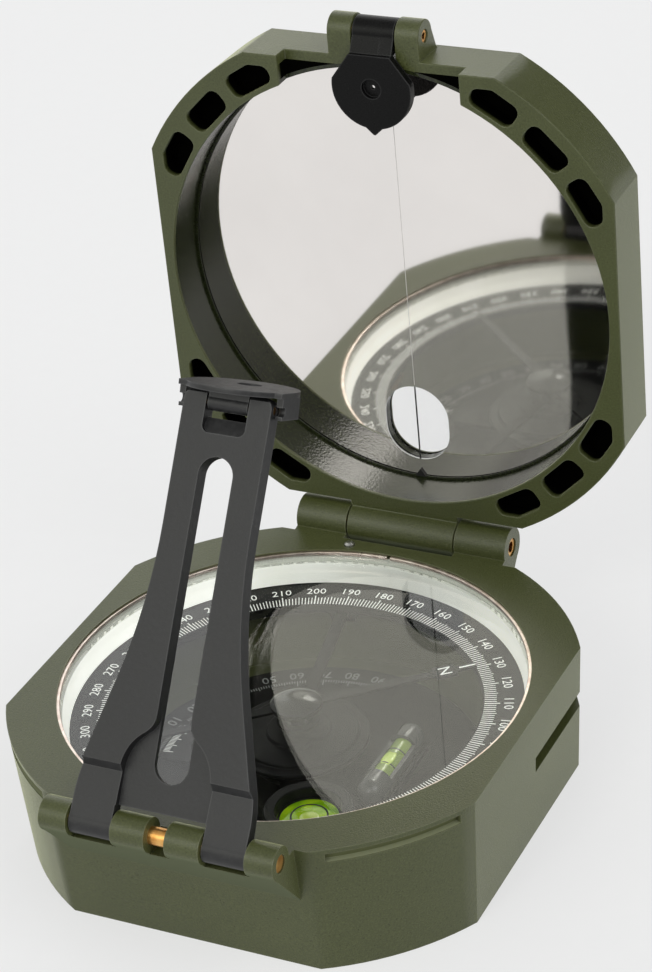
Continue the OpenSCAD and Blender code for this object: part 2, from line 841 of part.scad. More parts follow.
// Lugs for the small sight, with a gusset to the lid's back
module sight_lugs() {
    c = [sight_y, sight_z];
    root = -half + block_root;
    top = [-half + lid_draft, lid_back_z - lug_edge];
    both_sides() {
        slab_x(lug_in, lug_out,
            [[root, sight_z - lug_r], [sight_y, sight_z - lug_r], c,
                touch(top, c, lug_r, -1), top, [root, lid_back_z - lug_edge]]);
        bar_x(lug_in, lug_out, sight_y, sight_z, lug_r);
    }
}

// The lid's own knuckle, with a gusset to the lid's back
module lid_knuckle() {
    c = [lid_y, lid_z];
    root = half - block_root;
    top = [half - lid_draft, lid_back_z - knuckle_edge];
    w = lid_knuckle_l / 2;
    slab_x(-w, w, [[root, lid_rim_z], [half, lid_rim_z], c,
        touch(top, c, lid_knuckle_r, 1), top, [root, lid_back_z - knuckle_edge]]);
    bar_x(-w, w, lid_y, lid_z, lid_knuckle_r);
}

module lid_shell() {
    color(olive)
        lid_frame()
            difference() {
                union() {
                    translate([0, 0, lid_rim_z])
                        drafted_block(lid_t, case_r, half, -lid_draft_angle);
                    sight_lugs();
                    lid_knuckle();
                }
                translate([0, 0, lid_rim_z - eps])
                    cylinder(h = mirror_depth + mirror_t + eps, r = cup_r);
                window_shape(lid_rim_z, far, 0);
                for (corner = [45 : 90 : 315])
                    rim_pockets(corner);
                translate([-notch_w / 2, -far, lid_rim_z - far])
                    cube([notch_w, far - cup_r + notch_reach, far + notch_depth]);
                bar_x(-far / 2, far / 2, lid_y, lid_z, lid_pin_r + run_fit);
                bar_x(-far / 2, far / 2, sight_y, sight_z, sight_pin_r);
            }
}

module mirror_plate() {
    color("#dfe3e4")
        lid_frame()
            difference() {
                translate([0, 0, mirror_z])
                    cylinder(h = mirror_t, r = cup_r - slack);
                window_shape(mirror_z - eps, far, 0);
            }
}

module mirror_gasket() {
    color("#151515")
        lid_frame()
            translate([0, 0, mirror_z - gasket_t])
                difference() {
                    cylinder(h = gasket_t, r = cup_r);
                    translate([0, 0, -eps])
                        cylinder(h = gasket_t + 2 * eps, r = cup_r - gasket_w);
                }
}

module window_pane() {
    color("#d5dcda", 0.35)
        lid_frame()
            window_shape(mirror_z, mirror_t, slack);
}

module sight_pin() {
    l = 2 * lug_out - 2 * side_gap;
    color(brass)
        lid_frame()
            difference() {
                bar_x(-l / 2, l / 2, sight_y, sight_z, sight_pin_r);
                bar_x(-l, l, sight_y, sight_z, sight_pin_bore_r);
            }
}

module small_sight() {
    w = lug_in - side_gap;
    barrel = lug_r - side_gap;
    color(black)
        sight_frame()
            difference() {
                union() {
                    bar_x(-w, w, 0, 0, barrel);
                    slab_x(-w, w, [[0, -barrel], [neck_low_l, disc_low], [neck_end, disc_low],
                        [neck_end, disc_top], [neck_top_l, disc_top], [neck_back_l, neck_back_z],
                        [0, 0]]);
                    slab_x(-w, ridge_side, [[0, -barrel], [ridge_l, -barrel - ridge_drop],
                        [neck_low_l, disc_low], [neck_low_l, disc_top], [0, 0]]);
                    intersection() {
                        translate([0, disc_l, disc_low])
                            cylinder(h = disc_t, r = disc_r);
                        translate([-far / 2, shoulder_end, disc_low - far / 2])
                            cube([far, far, far]);
                    }
                    translate([0, 0, disc_low])
                        linear_extrude(height = disc_t)
                            polygon([[-w, shoulder_l], [w, shoulder_l],
                                [shoulder_half, shoulder_end + eps],
                                [-shoulder_half, shoulder_end + eps]]);
                    translate([0, 0, disc_low])
                        linear_extrude(height = disc_t)
                            polygon([[-nib_half, nib_root], [nib_half, nib_root],
                                [nib_tip, point_l], [-nib_tip, point_l]]);
                }
                translate([0, disc_l, disc_low - eps])
                    cylinder(h = disc_t - disc_peep_t + eps, r = disc_hole_r);
                translate([0, disc_l, disc_low])
                    cylinder(h = disc_t + eps, r = disc_peep_r);
                bar_x(-far / 2, far / 2, 0, 0, sight_pin_r + run_fit);
            }
}

// Points of a soft bend at corner b between a and c, that reaches to both sides of it
function bend(a, b, c, reach) =
    let (p = b + min(reach, norm(a - b)) * (a - b) / norm(a - b), q = b + reach * (c - b) / norm(c - b))
    [for (i = [0:bend_steps]) let (t = i / bend_steps)
        pow(1 - t, 2) * p + 2 * t * (1 - t) * b + t * t * q];

// Plan of the arm from the panel's start to the tip
module arm_plan() {
    x = arm_half - tip_round;
    y = arm_l - tip_round;
    root = [ear_out, panel_start];
    foot = [ear_out, arm_foot_l];
    waist = [arm_half, arm_taper_l];
    top = [arm_half, y];
    right = concat([root], bend(root, foot, waist, foot_bend), bend(foot, waist, top, waist_bend), [top]);
    n = len(right);
    difference() {
        union() {
            polygon(concat(right, [for (i = [n - 1:-1:0]) [-right[i][0], right[i][1]]]));
            translate([-x, y - eps])
                square([2 * x, tip_round + eps]);
            for (side = [-1, 1])
                translate([side * x, y])
                    circle(r = tip_round);
        }
        // Sighting slot with round ends, and the fork at the tip
        translate([-slot_w / 2, slot_start + slot_w / 2])
            square([slot_w, slot_end - slot_start - slot_w]);
        translate([0, slot_start + slot_w / 2])
            circle(d = slot_w);
        translate([0, slot_end - slot_w / 2])
            circle(d = slot_w);
        translate([-fork_half, fork_start])
            square([2 * fork_half, far]);
    }
}

// Outline of the recess for the folded small sight, one half
function arch_half() =
    let (end = polar(panel_half, arch_turn),
        side = slot_w / 2,
        up = end[1] + (end[0] - side) * cos(arch_turn) / sin(arch_turn))
    concat([for (a = [0:3:arch_turn]) polar(panel_half, a)],
        [for (i = [1:6]) let (t = i / 6)
            [pow(1 - t, 2) * end[0] + (1 - pow(1 - t, 2)) * side,
                pow(1 - t, 2) * end[1] + 2 * t * (1 - t) * up + t * t * (up + arch_run)]]);

// Recess for the folded small sight, drawn in towards the slot
module sight_recess() {
    right = arch_half();
    n = len(right);
    translate([0, sight_at, panel_top])
        linear_extrude(height = far)
            polygon(concat([[-panel_half, -sight_at], [panel_half, -sight_at]], right,
                [for (i = [n - 1:-1:0]) [-right[i][0], right[i][1]]]));
}

// Sloping lip before the fork, with round corners
module fork_lip() {
    x = fork_half - lip_round;
    intersection() {
        slab_x(-fork_half, fork_half, [[lip_start, arm_top - lip_rise],
            [fork_start + eps, arm_top - lip_depth], [fork_start + eps, far], [lip_start, far]]);
        union() {
            translate([-x, 0, -far / 2])
                cube([2 * x, far, far]);
            translate([-far / 2, lip_start + lip_round, -far / 2])
                cube([far, far, far]);
            for (side = [-1, 1])
                translate([side * x, lip_start + lip_round, -far / 2])
                    cylinder(h = far, r = lip_round);
        }
    }
}

module sight_arm() {
    root = panel_start + block_root;
    color(black)
        arm_frame()
            difference() {
                union() {
                    difference() {
                        union() {
                            translate([0, 0, arm_under])
                                linear_extrude(height = arm_t)
                                    arm_plan();
                            both_sides()
                                slab_x(ear_in, ear_out,
                                    [[0, arm_under], [root, arm_under], [root, ear_r], [0, ear_r]]);
                        }
                        // Ears lie below the legs, with a sloping ledge between them
                        slab_x(-far / 2, far / 2, [[-far, ear_touch[1]], ear_touch, [ear_l, ear_top],
                            [ear_l + 2 * ledge_h, ear_top + 2 * ledge_h],
                            [ear_l + 2 * ledge_h, far], [-far, far]]);
                        sight_recess();
                        fork_lip();
                        // Round ends of the tines, so that the leaf turns over them
                        difference() {
                            slab_x(-far / 2, far / 2, [[peep_pin_l, -far], [far, -far], [far, far],
                                [peep_pin_l, far]]);
                            bar_x(-far, far, peep_pin_l, peep_z, tine_l);
                        }
                    }
                    both_sides()
                        bar_x(ear_in, ear_out, 0, 0, ear_r);
                }
                bar_x(-far / 2, far / 2, 0, 0, arm_pin_r + run_fit);
                bar_x(-far / 2, far / 2, peep_pin_l, peep_z, peep_pin_r);
            }
}

module peep_pin() {
    l = 2 * arm_half - 2 * side_gap;
    color(brass)
        arm_frame()
            bar_x(-l / 2, l / 2, peep_pin_l, peep_z, peep_pin_r);
}

module peep_sight() {
    w = fork_half - side_gap;
    color(black)
        peep_frame()
            difference() {
                union() {
                    bar_x(-w, w, 0, 0, peep_barrel_r);
                    slab_x(-w, w, [[-leaf_front, 0], [tongue_back, 0], [tongue_back, leaf_up + eps],
                        [-leaf_front, leaf_up + eps]]);
                    translate([-leaf_half, -leaf_front, leaf_up])
                        cube([2 * leaf_half, leaf_front + leaf_mid, leaf_t]);
                    translate([0, leaf_mid, leaf_up])
                        cylinder(h = leaf_t, r = leaf_half);
                    both_sides()
                        slab_x(leaf_half - cheek_t, leaf_half, [[-cheek_front, -cheek_drop],
                            [cheek_l, -cheek_drop], [cheek_l, leaf_up + eps],
                            [-cheek_front, leaf_up + eps]]);
                }
                translate([0, peep_hole_l, leaf_up - eps])
                    cylinder(h = far, r = peep_hole_r);
                bar_x(-far / 2, far / 2, 0, 0, peep_pin_r + run_fit);
            }
}

module needle() {
    color(dark)
        rotate([0, 0, needle_bearing - 90])
            translate([0, 0, needle_z])
                difference() {
                    union() {
                        linear_extrude(height = needle_t)
                            polygon([[-needle_l, -needle_tip_w / 2], [-needle_l, needle_tip_w / 2],
                                [0, needle_w / 2], [needle_l, needle_tip_w / 2],
                                [needle_l, -needle_tip_w / 2], [0, -needle_w / 2]]);
                        cylinder(h = needle_t, r = cap_r);
                        translate([needle_l - mark_in - mark_l, -mark_w / 2, 0])
                            cube([mark_l, mark_w, needle_t]);
                    }
                    translate([0, 0, -eps])
                        cylinder(h = needle_t + 2 * eps, r = cap_bore_r);
                }
}

module needle_cap() {
    z0 = needle_z + needle_t;
    color(steel)
        translate([0, 0, z0])
            difference() {
                intersection() {
                    cylinder(h = cap_h, r = cap_r);
                    translate([0, 0, cap_h - cap_dome_r])
                        sphere(r = cap_dome_r);
                }
                translate([0, 0, -eps])
                    cylinder(h = jewel_z - z0 + eps, r = cap_bore_r);
            }
}

module clinometer_shaft() {
    color(steel)
        cylinder(h = hub_low + hub_socket, r = shaft_r);
}

module clinometer_hub() {
    color(dark)
        difference() {
            union() {
                translate([0, 0, hub_low])
                    cylinder(h = hub_disc_z - hub_low, r = hub_boss_r);
                translate([0, 0, hub_disc_z])
                    cylinder(h = hub_disc_t, r = hub_r);
                translate([0, 0, hub_disc_z + hub_disc_t - eps])
                    cylinder(h = hub_ring_h + eps, r = hub_ring_r);
                translate([0, 0, hub_top - hub_boss_h - eps])
                    cylinder(h = hub_boss_h + eps, r = hub_boss_r);
            }
            translate([0, 0, hub_low - eps])
                cylinder(h = hub_socket + eps, r = shaft_r);
            translate([0, 0, hub_disc_z])
                cylinder(h = far, r = pivot_r);
        }
}

module needle_pivot() {
    shoulder = lifter_z + pivot_shoulder;
    color(steel) {
        translate([0, 0, hub_disc_z])
            cylinder(h = shoulder - hub_disc_z, r = pivot_r);
        translate([0, 0, shoulder - eps])
            cylinder(h = jewel_z - lay_gap - shoulder + eps, r1 = pivot_r * 0.6, r2 = pivot_tip_r);
    }
}

module level_bracket() {
    color(dark)
        translate([0, 0, bracket_z])
            difference() {
                union() {
                    cylinder(h = bracket_t, r = bracket_r);
                    translate([round_x, -round_y, 0])
                        cylinder(h = bracket_t, r = round_r);
                    linear_extrude(height = bracket_t)
                        polygon([[0, bracket_r], [tube_x + tube_r, tube_front + tube_l - bracket_inset],
                            [tube_x + tube_r, tube_front + bracket_inset],
                            [round_x + round_r - bracket_inset, -round_y],
                            [round_x - round_r + bracket_inset, -round_y], [0, -bracket_r]]);
                }
                translate([0, 0, -eps])
                    cylinder(h = bracket_t + 2 * eps, r = hub_boss_r);
            }
}

// Round bar along Y over the level bracket
module tube_bar(l, r) {
    translate([tube_x, tube_mid + l / 2, tube_z])
        rotate([90, 0, 0])
            cylinder(h = l, r = r);
}

module tube_level_case() {
    color("#4a4b4b")
        difference() {
            union() {
                tube_bar(tube_l - 2 * tube_r, tube_r);
                for (side = [-1, 1])
                    translate([tube_x, tube_mid + side * (tube_l / 2 - tube_r), tube_z])
                        sphere(r = tube_r);
                translate([tube_x - tube_r + tube_foot_in, tube_front + bracket_inset, bracket_top])
                    cube([2 * (tube_r - tube_foot_in), tube_l - 2 * bracket_inset,
                        tube_z - bracket_top]);
            }
            tube_bar(tube_l - 2 * tube_end, tube_vial_r);
            translate([tube_x - far / 2, tube_mid - tube_open_l / 2, tube_z + tube_open_up])
                cube([far, tube_open_l, far]);
            translate([0, -far / 2, bracket_top - far])
                cube([far, far, far]);
        }
}

module tube_vial() {
    color("#9db04a")
        tube_bar(tube_l - 2 * tube_end, tube_vial_r - slack);
}

module round_level_case() {
    color(black)
        translate([round_x, -round_y, bracket_top])
            difference() {
                cylinder(h = round_h, r = round_r);
                translate([0, 0, round_floor])
                    cylinder(h = far, r = round_vial_r);
            }
}

module round_vial() {
    h = round_h - round_floor - round_rim;
    color("#b9cc2c")
        translate([round_x, -round_y, bracket_top + round_floor])
            intersection() {
                cylinder(h = h, r = round_vial_r - slack);
                translate([0, 0, h - dome_r])
                    sphere(r = dome_r);
            }
}

module vernier_arm() {
    drop = plate_top + vernier_up;
    bend = vernier_bend;
    t = vernier_t;
    strap = vernier_strap;
    color("#4a4b4b")
        difference() {
            union() {
                translate([-bend, -strap / 2, bracket_z])
                    cube([bend, strap, t]);
                translate([-bend - t, -strap / 2, drop])
                    cube([t + eps, strap, bracket_z + t - drop]);
                translate([-vernier_r, -vernier_w / 2, drop])
                    cube([vernier_r - bend, vernier_w, t]);
            }
            translate([0, 0, bracket_z - far / 2])
                cylinder(h = far, r = bracket_r);
        }
}

module clinometer_lever() {
    color(steel)
        translate([0, 0, lever_z])
            difference() {
                union() {
                    cylinder(h = lever_t, r = shaft_r + lever_eye);
                    translate([0, -lever_w / 2, 0])
                        cube([lever_l - lever_w / 2, lever_w, lever_t]);
                    translate([lever_l - lever_w / 2, 0, 0])
                        cylinder(h = lever_t, r = lever_w / 2);
                }
                translate([0, 0, -eps])
                    cylinder(h = lever_t + 2 * eps, r = shaft_r);
            }
}

module azimuth_ring() {
    color("#1f2021")
        translate([0, 0, dial_z - ring_t])
            difference() {
                cylinder(h = ring_t, r = bore_r - 2 * lay_gap);
                translate([0, 0, -eps])
                    cylinder(h = ring_t + 2 * eps, r = ring_ri);
            }
}

module azimuth_screw() {
    head_x = -half + case_draft / 2;
    color(brass)
        difference() {
            union() {
                bar_x(-roller_in_r - roller_l, -roller_in_r, 0, roller_z, roller_r);
                bar_x(head_x, -roller_in_r, 0, roller_z, screw_r);
                bar_x(head_x, head_x + head_t, 0, roller_z, screw_head_r);
            }
            translate([head_x - eps, -far / 2, roller_z - head_slot_w / 2])
                cube([head_slot_depth, far, head_slot_w]);
        }
}

module lift_pin() {
    z0 = lifter_z + lifter_t + lay_gap;
    z1 = rim_z + lift_pin_up - lift_crown;
    color(steel)
        translate([-lift_pin_x, lift_y, 0]) {
            translate([0, 0, z0])
                cylinder(h = z1 - z0, r = lift_pin_r);
            translate([0, 0, z1 - eps])
                cylinder(h = lift_crown + eps, r1 = lift_pin_r, r2 = lift_pin_r * 0.55);
        }
}

module needle_lifter() {
    color(steel)
        rotate([0, 0, lift_turn])
            difference() {
                union() {
                    translate([0, 0, lifter_z])
                        cylinder(h = lifter_t, r = lifter_eye_r);
                    translate([0, -lifter_w / 2, lifter_z])
                        cube([lifter_end, lifter_w, lifter_t]);
                    translate([lifter_pivot_r, lifter_w / 2, lifter_mid])
                        rotate([90, 0, 0])
                            cylinder(h = lifter_w, r = lifter_barrel_r);
                }
                translate([0, 0, lifter_z - eps])
                    cylinder(h = lifter_t + 2 * eps, r = lifter_hole_r);
                translate([lifter_pivot_r, far / 2, lifter_mid])
                    rotate([90, 0, 0])
                        cylinder(h = far, r = lifter_pin_r + run_fit);
            }
}

body_case();
scale_plate();
clinometer_bush();
wall_ring();
crystal();
snap_ring();
lid_hinge_pin();
arm_hinge_pin();
lifter_bracket();
lifter_pin();
lid_shell();
mirror_plate();  // mirror
mirror_gasket();
window_pane();
sight_pin();
small_sight();
sight_arm();
peep_pin();
peep_sight();
needle();
needle_cap();
clinometer_shaft();
clinometer_hub();
needle_pivot();
level_bracket();
tube_level_case();
tube_vial();
round_level_case();
round_vial();
vernier_arm();
clinometer_lever();
azimuth_ring();
azimuth_screw();
lift_pin();
needle_lifter();
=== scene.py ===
# %% [markdown]
# # A hiking compass with a mirror lid
# This lesson dresses a pocket transit compass for a product picture. The real one is a cast metal
# case with a dial under glass, a lid that holds a mirror, and a folding sight arm. Its solid pieces
# come ready made from a CAD model, in metres, with the needle's axis upright at the origin and the
# sight arm in front, towards -Y. What is left for Blender is what CAD doesn't give: a camera, light,
# finishes, and printing that is too thin for a solid. A size in capitals is in millimetres, unless a
# comment says otherwise, and MM turns it into metres.

# %% Load the CAD frame
import bpy
import bmesh
from math import cos, radians, sin, sqrt
from mathutils import Matrix, Vector


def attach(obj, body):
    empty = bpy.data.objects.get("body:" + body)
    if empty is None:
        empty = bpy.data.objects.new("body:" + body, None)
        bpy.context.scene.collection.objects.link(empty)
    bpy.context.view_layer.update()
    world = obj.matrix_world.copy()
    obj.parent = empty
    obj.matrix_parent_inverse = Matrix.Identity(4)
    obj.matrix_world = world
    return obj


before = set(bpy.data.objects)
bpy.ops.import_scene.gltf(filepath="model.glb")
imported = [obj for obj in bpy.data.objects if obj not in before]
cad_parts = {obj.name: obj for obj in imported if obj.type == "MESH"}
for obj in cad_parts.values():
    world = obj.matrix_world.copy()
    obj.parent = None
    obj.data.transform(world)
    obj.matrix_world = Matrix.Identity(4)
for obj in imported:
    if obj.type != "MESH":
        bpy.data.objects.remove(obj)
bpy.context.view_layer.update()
scene = bpy.context.scene
MM = 0.001

# %% [markdown]
# Marks and coats of paint have to lie on the pieces that carry them. Their places could be typed in
# by hand, but then they would stay behind when the CAD model changes. So the places that depend on
# a piece are measured on its mesh.

# %% Measure a CAD piece
def measure(name):
    """The lowest corner, the highest corner and the middle of a CAD piece, in metres."""
    points = [vertex.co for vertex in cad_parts[name].data.vertices]
    low = Vector([min(point[axis] for point in points) for axis in range(3)])
    high = Vector([max(point[axis] for point in points) for axis in range(3)])
    return low, high, (low + high) / 2


mirror_front, mirror_back, mirror_middle = measure("mirror")
print("mirror is", round((mirror_back.x - mirror_front.x) / MM, 1), "mm wide")

# %% [markdown]
# ## Camera
# A small object like this is pictured by hand from a little over 40 cm, from above and to the right
# of the sight arm, and the picture leans by almost six degrees. A Track To constraint could aim the
# camera, but it would take the lean out. So three angles give the camera's own axes: right, up and
# backwards. A lens of 112 mm keeps the perspective calm.

# %% Place the camera
EYE = Vector((171.8, -305.3, 256.8)) * MM
AZIMUTH, ELEVATION, ROLL = radians(28.19), radians(30.52), radians(-5.73)
SENSOR_MM, LENS_MM = 36, 112.07

forward = Vector((-sin(AZIMUTH) * cos(ELEVATION), cos(AZIMUTH) * cos(ELEVATION), -sin(ELEVATION)))
level_right = Vector((cos(AZIMUTH), sin(AZIMUTH), 0))
level_up = level_right.cross(forward)
right = level_right * cos(ROLL) + level_up * sin(ROLL)
up = right.cross(forward)

lens = bpy.data.cameras.new("camera")
lens.sensor_width = SENSOR_MM
lens.lens = LENS_MM
lens.clip_start = 10 * MM
camera = bpy.data.objects.new("camera", lens)
camera.matrix_world = Matrix((right, up, -forward)).transposed().to_4x4()
camera.location = EYE
scene.collection.objects.link(camera)
scene.camera = camera
scene.view_settings.view_transform = "Standard"
print("camera at", [round(v, 4) for v in EYE])

# %% [markdown]
# ## Colours and shader nodes
# Colours are written as they look on a screen, as sRGB hex, because a colour picker gives them that
# way. The renderer counts in linear light, so one function converts them. Materials could be wired
# by hand in the shader editor, but code can be read and run again. One small helper adds a node,
# sets its values and joins it to the nodes before it. Its sockets are given by name, or by place as
# `in0`, `in1`, and a colour ramp is given its stops.

# %% Helpers for colours and shader nodes
def linear(code):
    """An sRGB hex colour as linear RGBA."""
    values = [int(code[i:i + 2], 16) / 255 for i in (1, 3, 5)]
    return [v / 12.92 if v <= 0.04045 else ((v + 0.055) / 1.055) ** 2.4 for v in values] + [1]


def add(tree, kind, **settings):
    """Adds a shader node with its settings: ramp stops, properties, socket values, or sockets to join."""
    node = tree.nodes.new("ShaderNode" + kind)
    for key, value in settings.items():
        if key == "stops":
            elements = node.color_ramp.elements
            for place, code in value[1:-1]:
                elements.new(place)
            for element, (place, code) in zip(elements, value):
                element.position, element.color = place, linear(code)
            continue
        if key in node.bl_rna.properties:
            setattr(node, key, value)
            continue
        by_place = key[:2] == "in" and key[2:].isdigit()
        socket = node.inputs[int(key[2:]) if by_place else key.replace("_", " ")]
        if isinstance(value, bpy.types.NodeSocket):
            tree.links.new(value, socket)
        else:
            socket.default_value = linear(value) if isinstance(value, str) else value
    return node


def new_material(name):
    """An empty node material, its tree and its output."""
    material = bpy.data.materials.new(name)
    material.use_nodes = True
    tree = material.node_tree
    tree.nodes.clear()
    return material, tree, tree.nodes.new("ShaderNodeOutputMaterial")


print("a middle grey of #808080 is", round(linear("#808080")[0], 3), "in linear light")

# %% [markdown]
# ## Masks
# Some finishes, and some painted light and shade, cover only a part of a casting, such as the painted
# shade inside the lid's cup. Its faces could be given a second material by hand, but the CAD meshes stay
# as they are here. A mask in the material, worked out from the place on the piece, does the same and can
# fade at its edge. A mask is 1 inside and 0 outside, and masks are multiplied to find where they overlap.

# %% Helpers for masks
def overlap(tree, *masks):
    """The product of masks, which is 1 only where all of them are 1."""
    result = masks[0]
    for mask in masks[1:]:
        result = add(tree, "Math", operation="MULTIPLY", in0=result, in1=mask).outputs[0]
    return result


def between(tree, value, low, high):
    """A mask for the places where a value lies between two limits."""
    above = add(tree, "Math", operation="GREATER_THAN", in0=value, in1=low).outputs[0]
    below = add(tree, "Math", operation="LESS_THAN", in0=value, in1=high).outputs[0]
    return overlap(tree, above, below)


def from_axis(tree, one, two):
    """How far a place lies from an axis, from its two coordinates across that axis."""
    across = add(tree, "CombineXYZ", X=one, Y=two)
    return add(tree, "VectorMath", operation="LENGTH", in0=across.outputs[0]).outputs["Value"]


LEVEL_ENOUGH, DOWN_ENOUGH = -0.15, -0.4


# Painted shading: faces that look down lose the enamel's sheen and gloss and take a flat, lighter olive
# instead.
def underside(tree):
    """Painted shading for the faces that look down: a flat grey-green in place of the enamel's sheen and
    gloss, after its mask.
    """
    facing = add(tree, "SeparateXYZ", Vector=add(tree, "TexCoord").outputs["Normal"])
    mask = add(tree, "MapRange", Value=facing.outputs["Z"], From_Min=LEVEL_ENOUGH, From_Max=DOWN_ENOUGH)
    return mask.outputs[0], add(tree, "BsdfDiffuse", Color="#606551").outputs[0]


print("masks ready")

# %% [markdown]
# ## Painted shade inside the lid
# The lid is cast with a round cup for the mirror and a row of small pockets in its rim. The cup's wall is
# sandy, where it glitters in the light, and it is coloured far darker than the lid as painted shade
# inside the cup. A dark line runs round the mirror, and the pockets are painted black as painted shade,
# because they are so deep. The real sand grain is finer than a pixel, so it is drawn as coarse as 0.4 mm
# to show. All depths are counted from the lid's open face.

# %% Paint shade and sand inside the lid
LID_FACE_Y = 38.75
LID_INSIDE_DEPTH = 9.1
LINE_DEPTH = 6.92
CUP_R, POCKET_R = 34.5, 38.8
POCKET_SIDE = 34
CUP_FADE, POCKET_FADE = (0.3, 0.6), (0.25, 1.0)
SAND_GRAIN, SAND_HEIGHT = 0.4, 0.035


def lid_coats(tree, place):
    """Painted shade and coats of the lid, each after its mask: undersides, the cup's wall, the line, the
    pockets.
    """
    middle = Vector((0, LID_FACE_Y * MM, mirror_middle.z))
    axes = add(tree, "VectorMath", operation="SUBTRACT", in0=place, in1=middle)
    axes = add(tree, "SeparateXYZ", Vector=axes.outputs[0]).outputs
    reach = from_axis(tree, axes["X"], axes["Z"])
    inside = between(tree, axes["Y"], 0, LID_INSIDE_DEPTH * MM)

    fades = [add(tree, "MapRange", Value=axes["Y"], From_Min=start * MM, From_Max=full * MM).outputs[0]
             for start, full in (CUP_FADE, POCKET_FADE)]
    cup = overlap(tree, between(tree, reach, 0, CUP_R * MM), inside, fades[0])
    line = overlap(tree, cup, between(tree, axes["Y"], LINE_DEPTH * MM, LID_INSIDE_DEPTH * MM))
    sides = [between(tree, axes[axis], -POCKET_SIDE * MM, POCKET_SIDE * MM) for axis in "XZ"]
    pockets = overlap(tree, between(tree, reach, CUP_R * MM, POCKET_R * MM), inside, fades[1], *sides)

    sand = add(tree, "TexNoise", Vector=place, Scale=1 / (SAND_GRAIN * MM), Detail=1.0, Roughness=0.5)
    bump = add(tree, "Bump", Height=sand.outputs["Fac"], Distance=SAND_HEIGHT * MM, Strength=1.0)
    # Painted shade: the cup's wall is coloured far darker than the lid's enamel, for the shade inside the
    # cup.
    colour = add(tree, "ValToRGB", Fac=sand.outputs["Fac"],
                 stops=[(0.35, "#171b0b"), (0.65, "#262b15")])
    sandy_cup_shade = add(tree, "BsdfPrincipled", Base_Color=colour.outputs["Color"], Roughness=0.22,
                Specular_IOR_Level=0.4, Normal=bump.outputs[0]).outputs[0]
    # Painted shade: the pockets are painted black for their depth. The same black draws the line round
    # the mirror.
    dark = add(tree, "BsdfDiffuse", Color="#040403").outputs[0]
    return [underside(tree), (cup, sandy_cup_shade), (line, dark), (pockets, dark)]


print("lid cup:", CUP_R, "mm in radius, pockets out to", POCKET_R, "mm")

# %% [markdown]
# ## Coats, painted light and shade on the case
# Round the crystal the case has a white band, the edge of the bright wall below it. The two front corners
# have a slot for a fingernail. The slot is painted lighter than the enamel, as painted light in its
# recess, and a ramp over the height paints a highlight on its floor and shade on its wall. A slot lies on
# the diagonal of the case, so its mask is an angle: the sum of a place's sideways and forward parts, as a
# share of its reach, is largest on the diagonal.

# %% Paint the crystal's seat, and light and shade in the fingernail slots
SEAT_R = 33.3
SLOT_INNER_R, SLOT_OUTER_R = 39.15, 40.03
SLOT_LOW, SLOT_HIGH, SLOT_SPARE = 18.1, 19.5, 0.05
SLOT_HALF_ANGLE = radians(13.6)


def case_coats(tree, place):
    """Coats and painted light of the case, each after its mask: undersides, the crystal's seat, the nail
    slots.
    """
    axes = add(tree, "SeparateXYZ", Vector=place).outputs
    reach = from_axis(tree, axes["X"], axes["Y"])
    crystal_low, crystal_high, _ = measure("crystal")
    seat = overlap(tree, between(tree, reach, 0, SEAT_R * MM),
                   between(tree, axes["Z"], crystal_low.z, crystal_high.z))
    white = add(tree, "BsdfDiffuse", Color="#e4e5dd").outputs[0]

    sideways = add(tree, "Math", operation="ABSOLUTE", in0=axes["X"]).outputs[0]
    diagonal = add(tree, "Math", operation="SUBTRACT", in0=sideways, in1=axes["Y"]).outputs[0]
    diagonal = add(tree, "Math", operation="DIVIDE", in0=diagonal, in1=reach).outputs[0]
    slots = overlap(tree, between(tree, diagonal, sqrt(2) * cos(SLOT_HALF_ANGLE), 2),
                    between(tree, reach, SLOT_INNER_R * MM, SLOT_OUTER_R * MM),
                    between(tree, axes["Z"], (SLOT_LOW - SLOT_SPARE) * MM,
                            (SLOT_HIGH + SLOT_SPARE) * MM))
    # Painted light and shade: the slot is coloured lighter than the enamel, with a painted highlight on
    # its floor and painted shade low on its wall.
    rise = add(tree, "MapRange", Value=axes["Z"], From_Min=SLOT_LOW * MM, From_Max=SLOT_HIGH * MM)
    colour = add(tree, "ValToRGB", Fac=rise.outputs[0],
                 stops=[(0.0, "#888c70"), (0.04, "#888c70"), (0.1, "#5e6244"), (1.0, "#6f7356")])
    slot_light_and_shade = add(tree, "BsdfDiffuse", Color=colour.outputs["Color"]).outputs[0]
    return [underside(tree), (seat, white), (slots, slot_light_and_shade)]


print("slots from", SLOT_LOW, "to", SLOT_HIGH, "mm up the case")

# %% [markdown]
# ## Enamel on cast metal
# The case and the lid are cast metal under semi-matt olive enamel. From close by the eye sees a fine
# orange-peel grain, patches a little greener or browner, a pale bloom where the eye looks along the
# surface, and edges where the paint is rubbed lighter. A plain colour with a roughness would look
# like plastic, so two noises make the patches and the grain, and sheen makes the bloom. The grain is
# drawn at a quarter of a millimetre, coarser than the real one, so that it shows. Edges are found by
# comparing the true normal with one that is rounded over a fraction of a millimetre.

# %% The recipe for enamel
PATCH = 14
PATCH_SHARE, TONE_SPREAD = 0.25, 0.4
RUBBED_EDGE = 0.35
FLAT_TURN, EDGE_TURN = 0.995, 0.86
SMOOTHER, ROUGHER = 0.06, 0.08


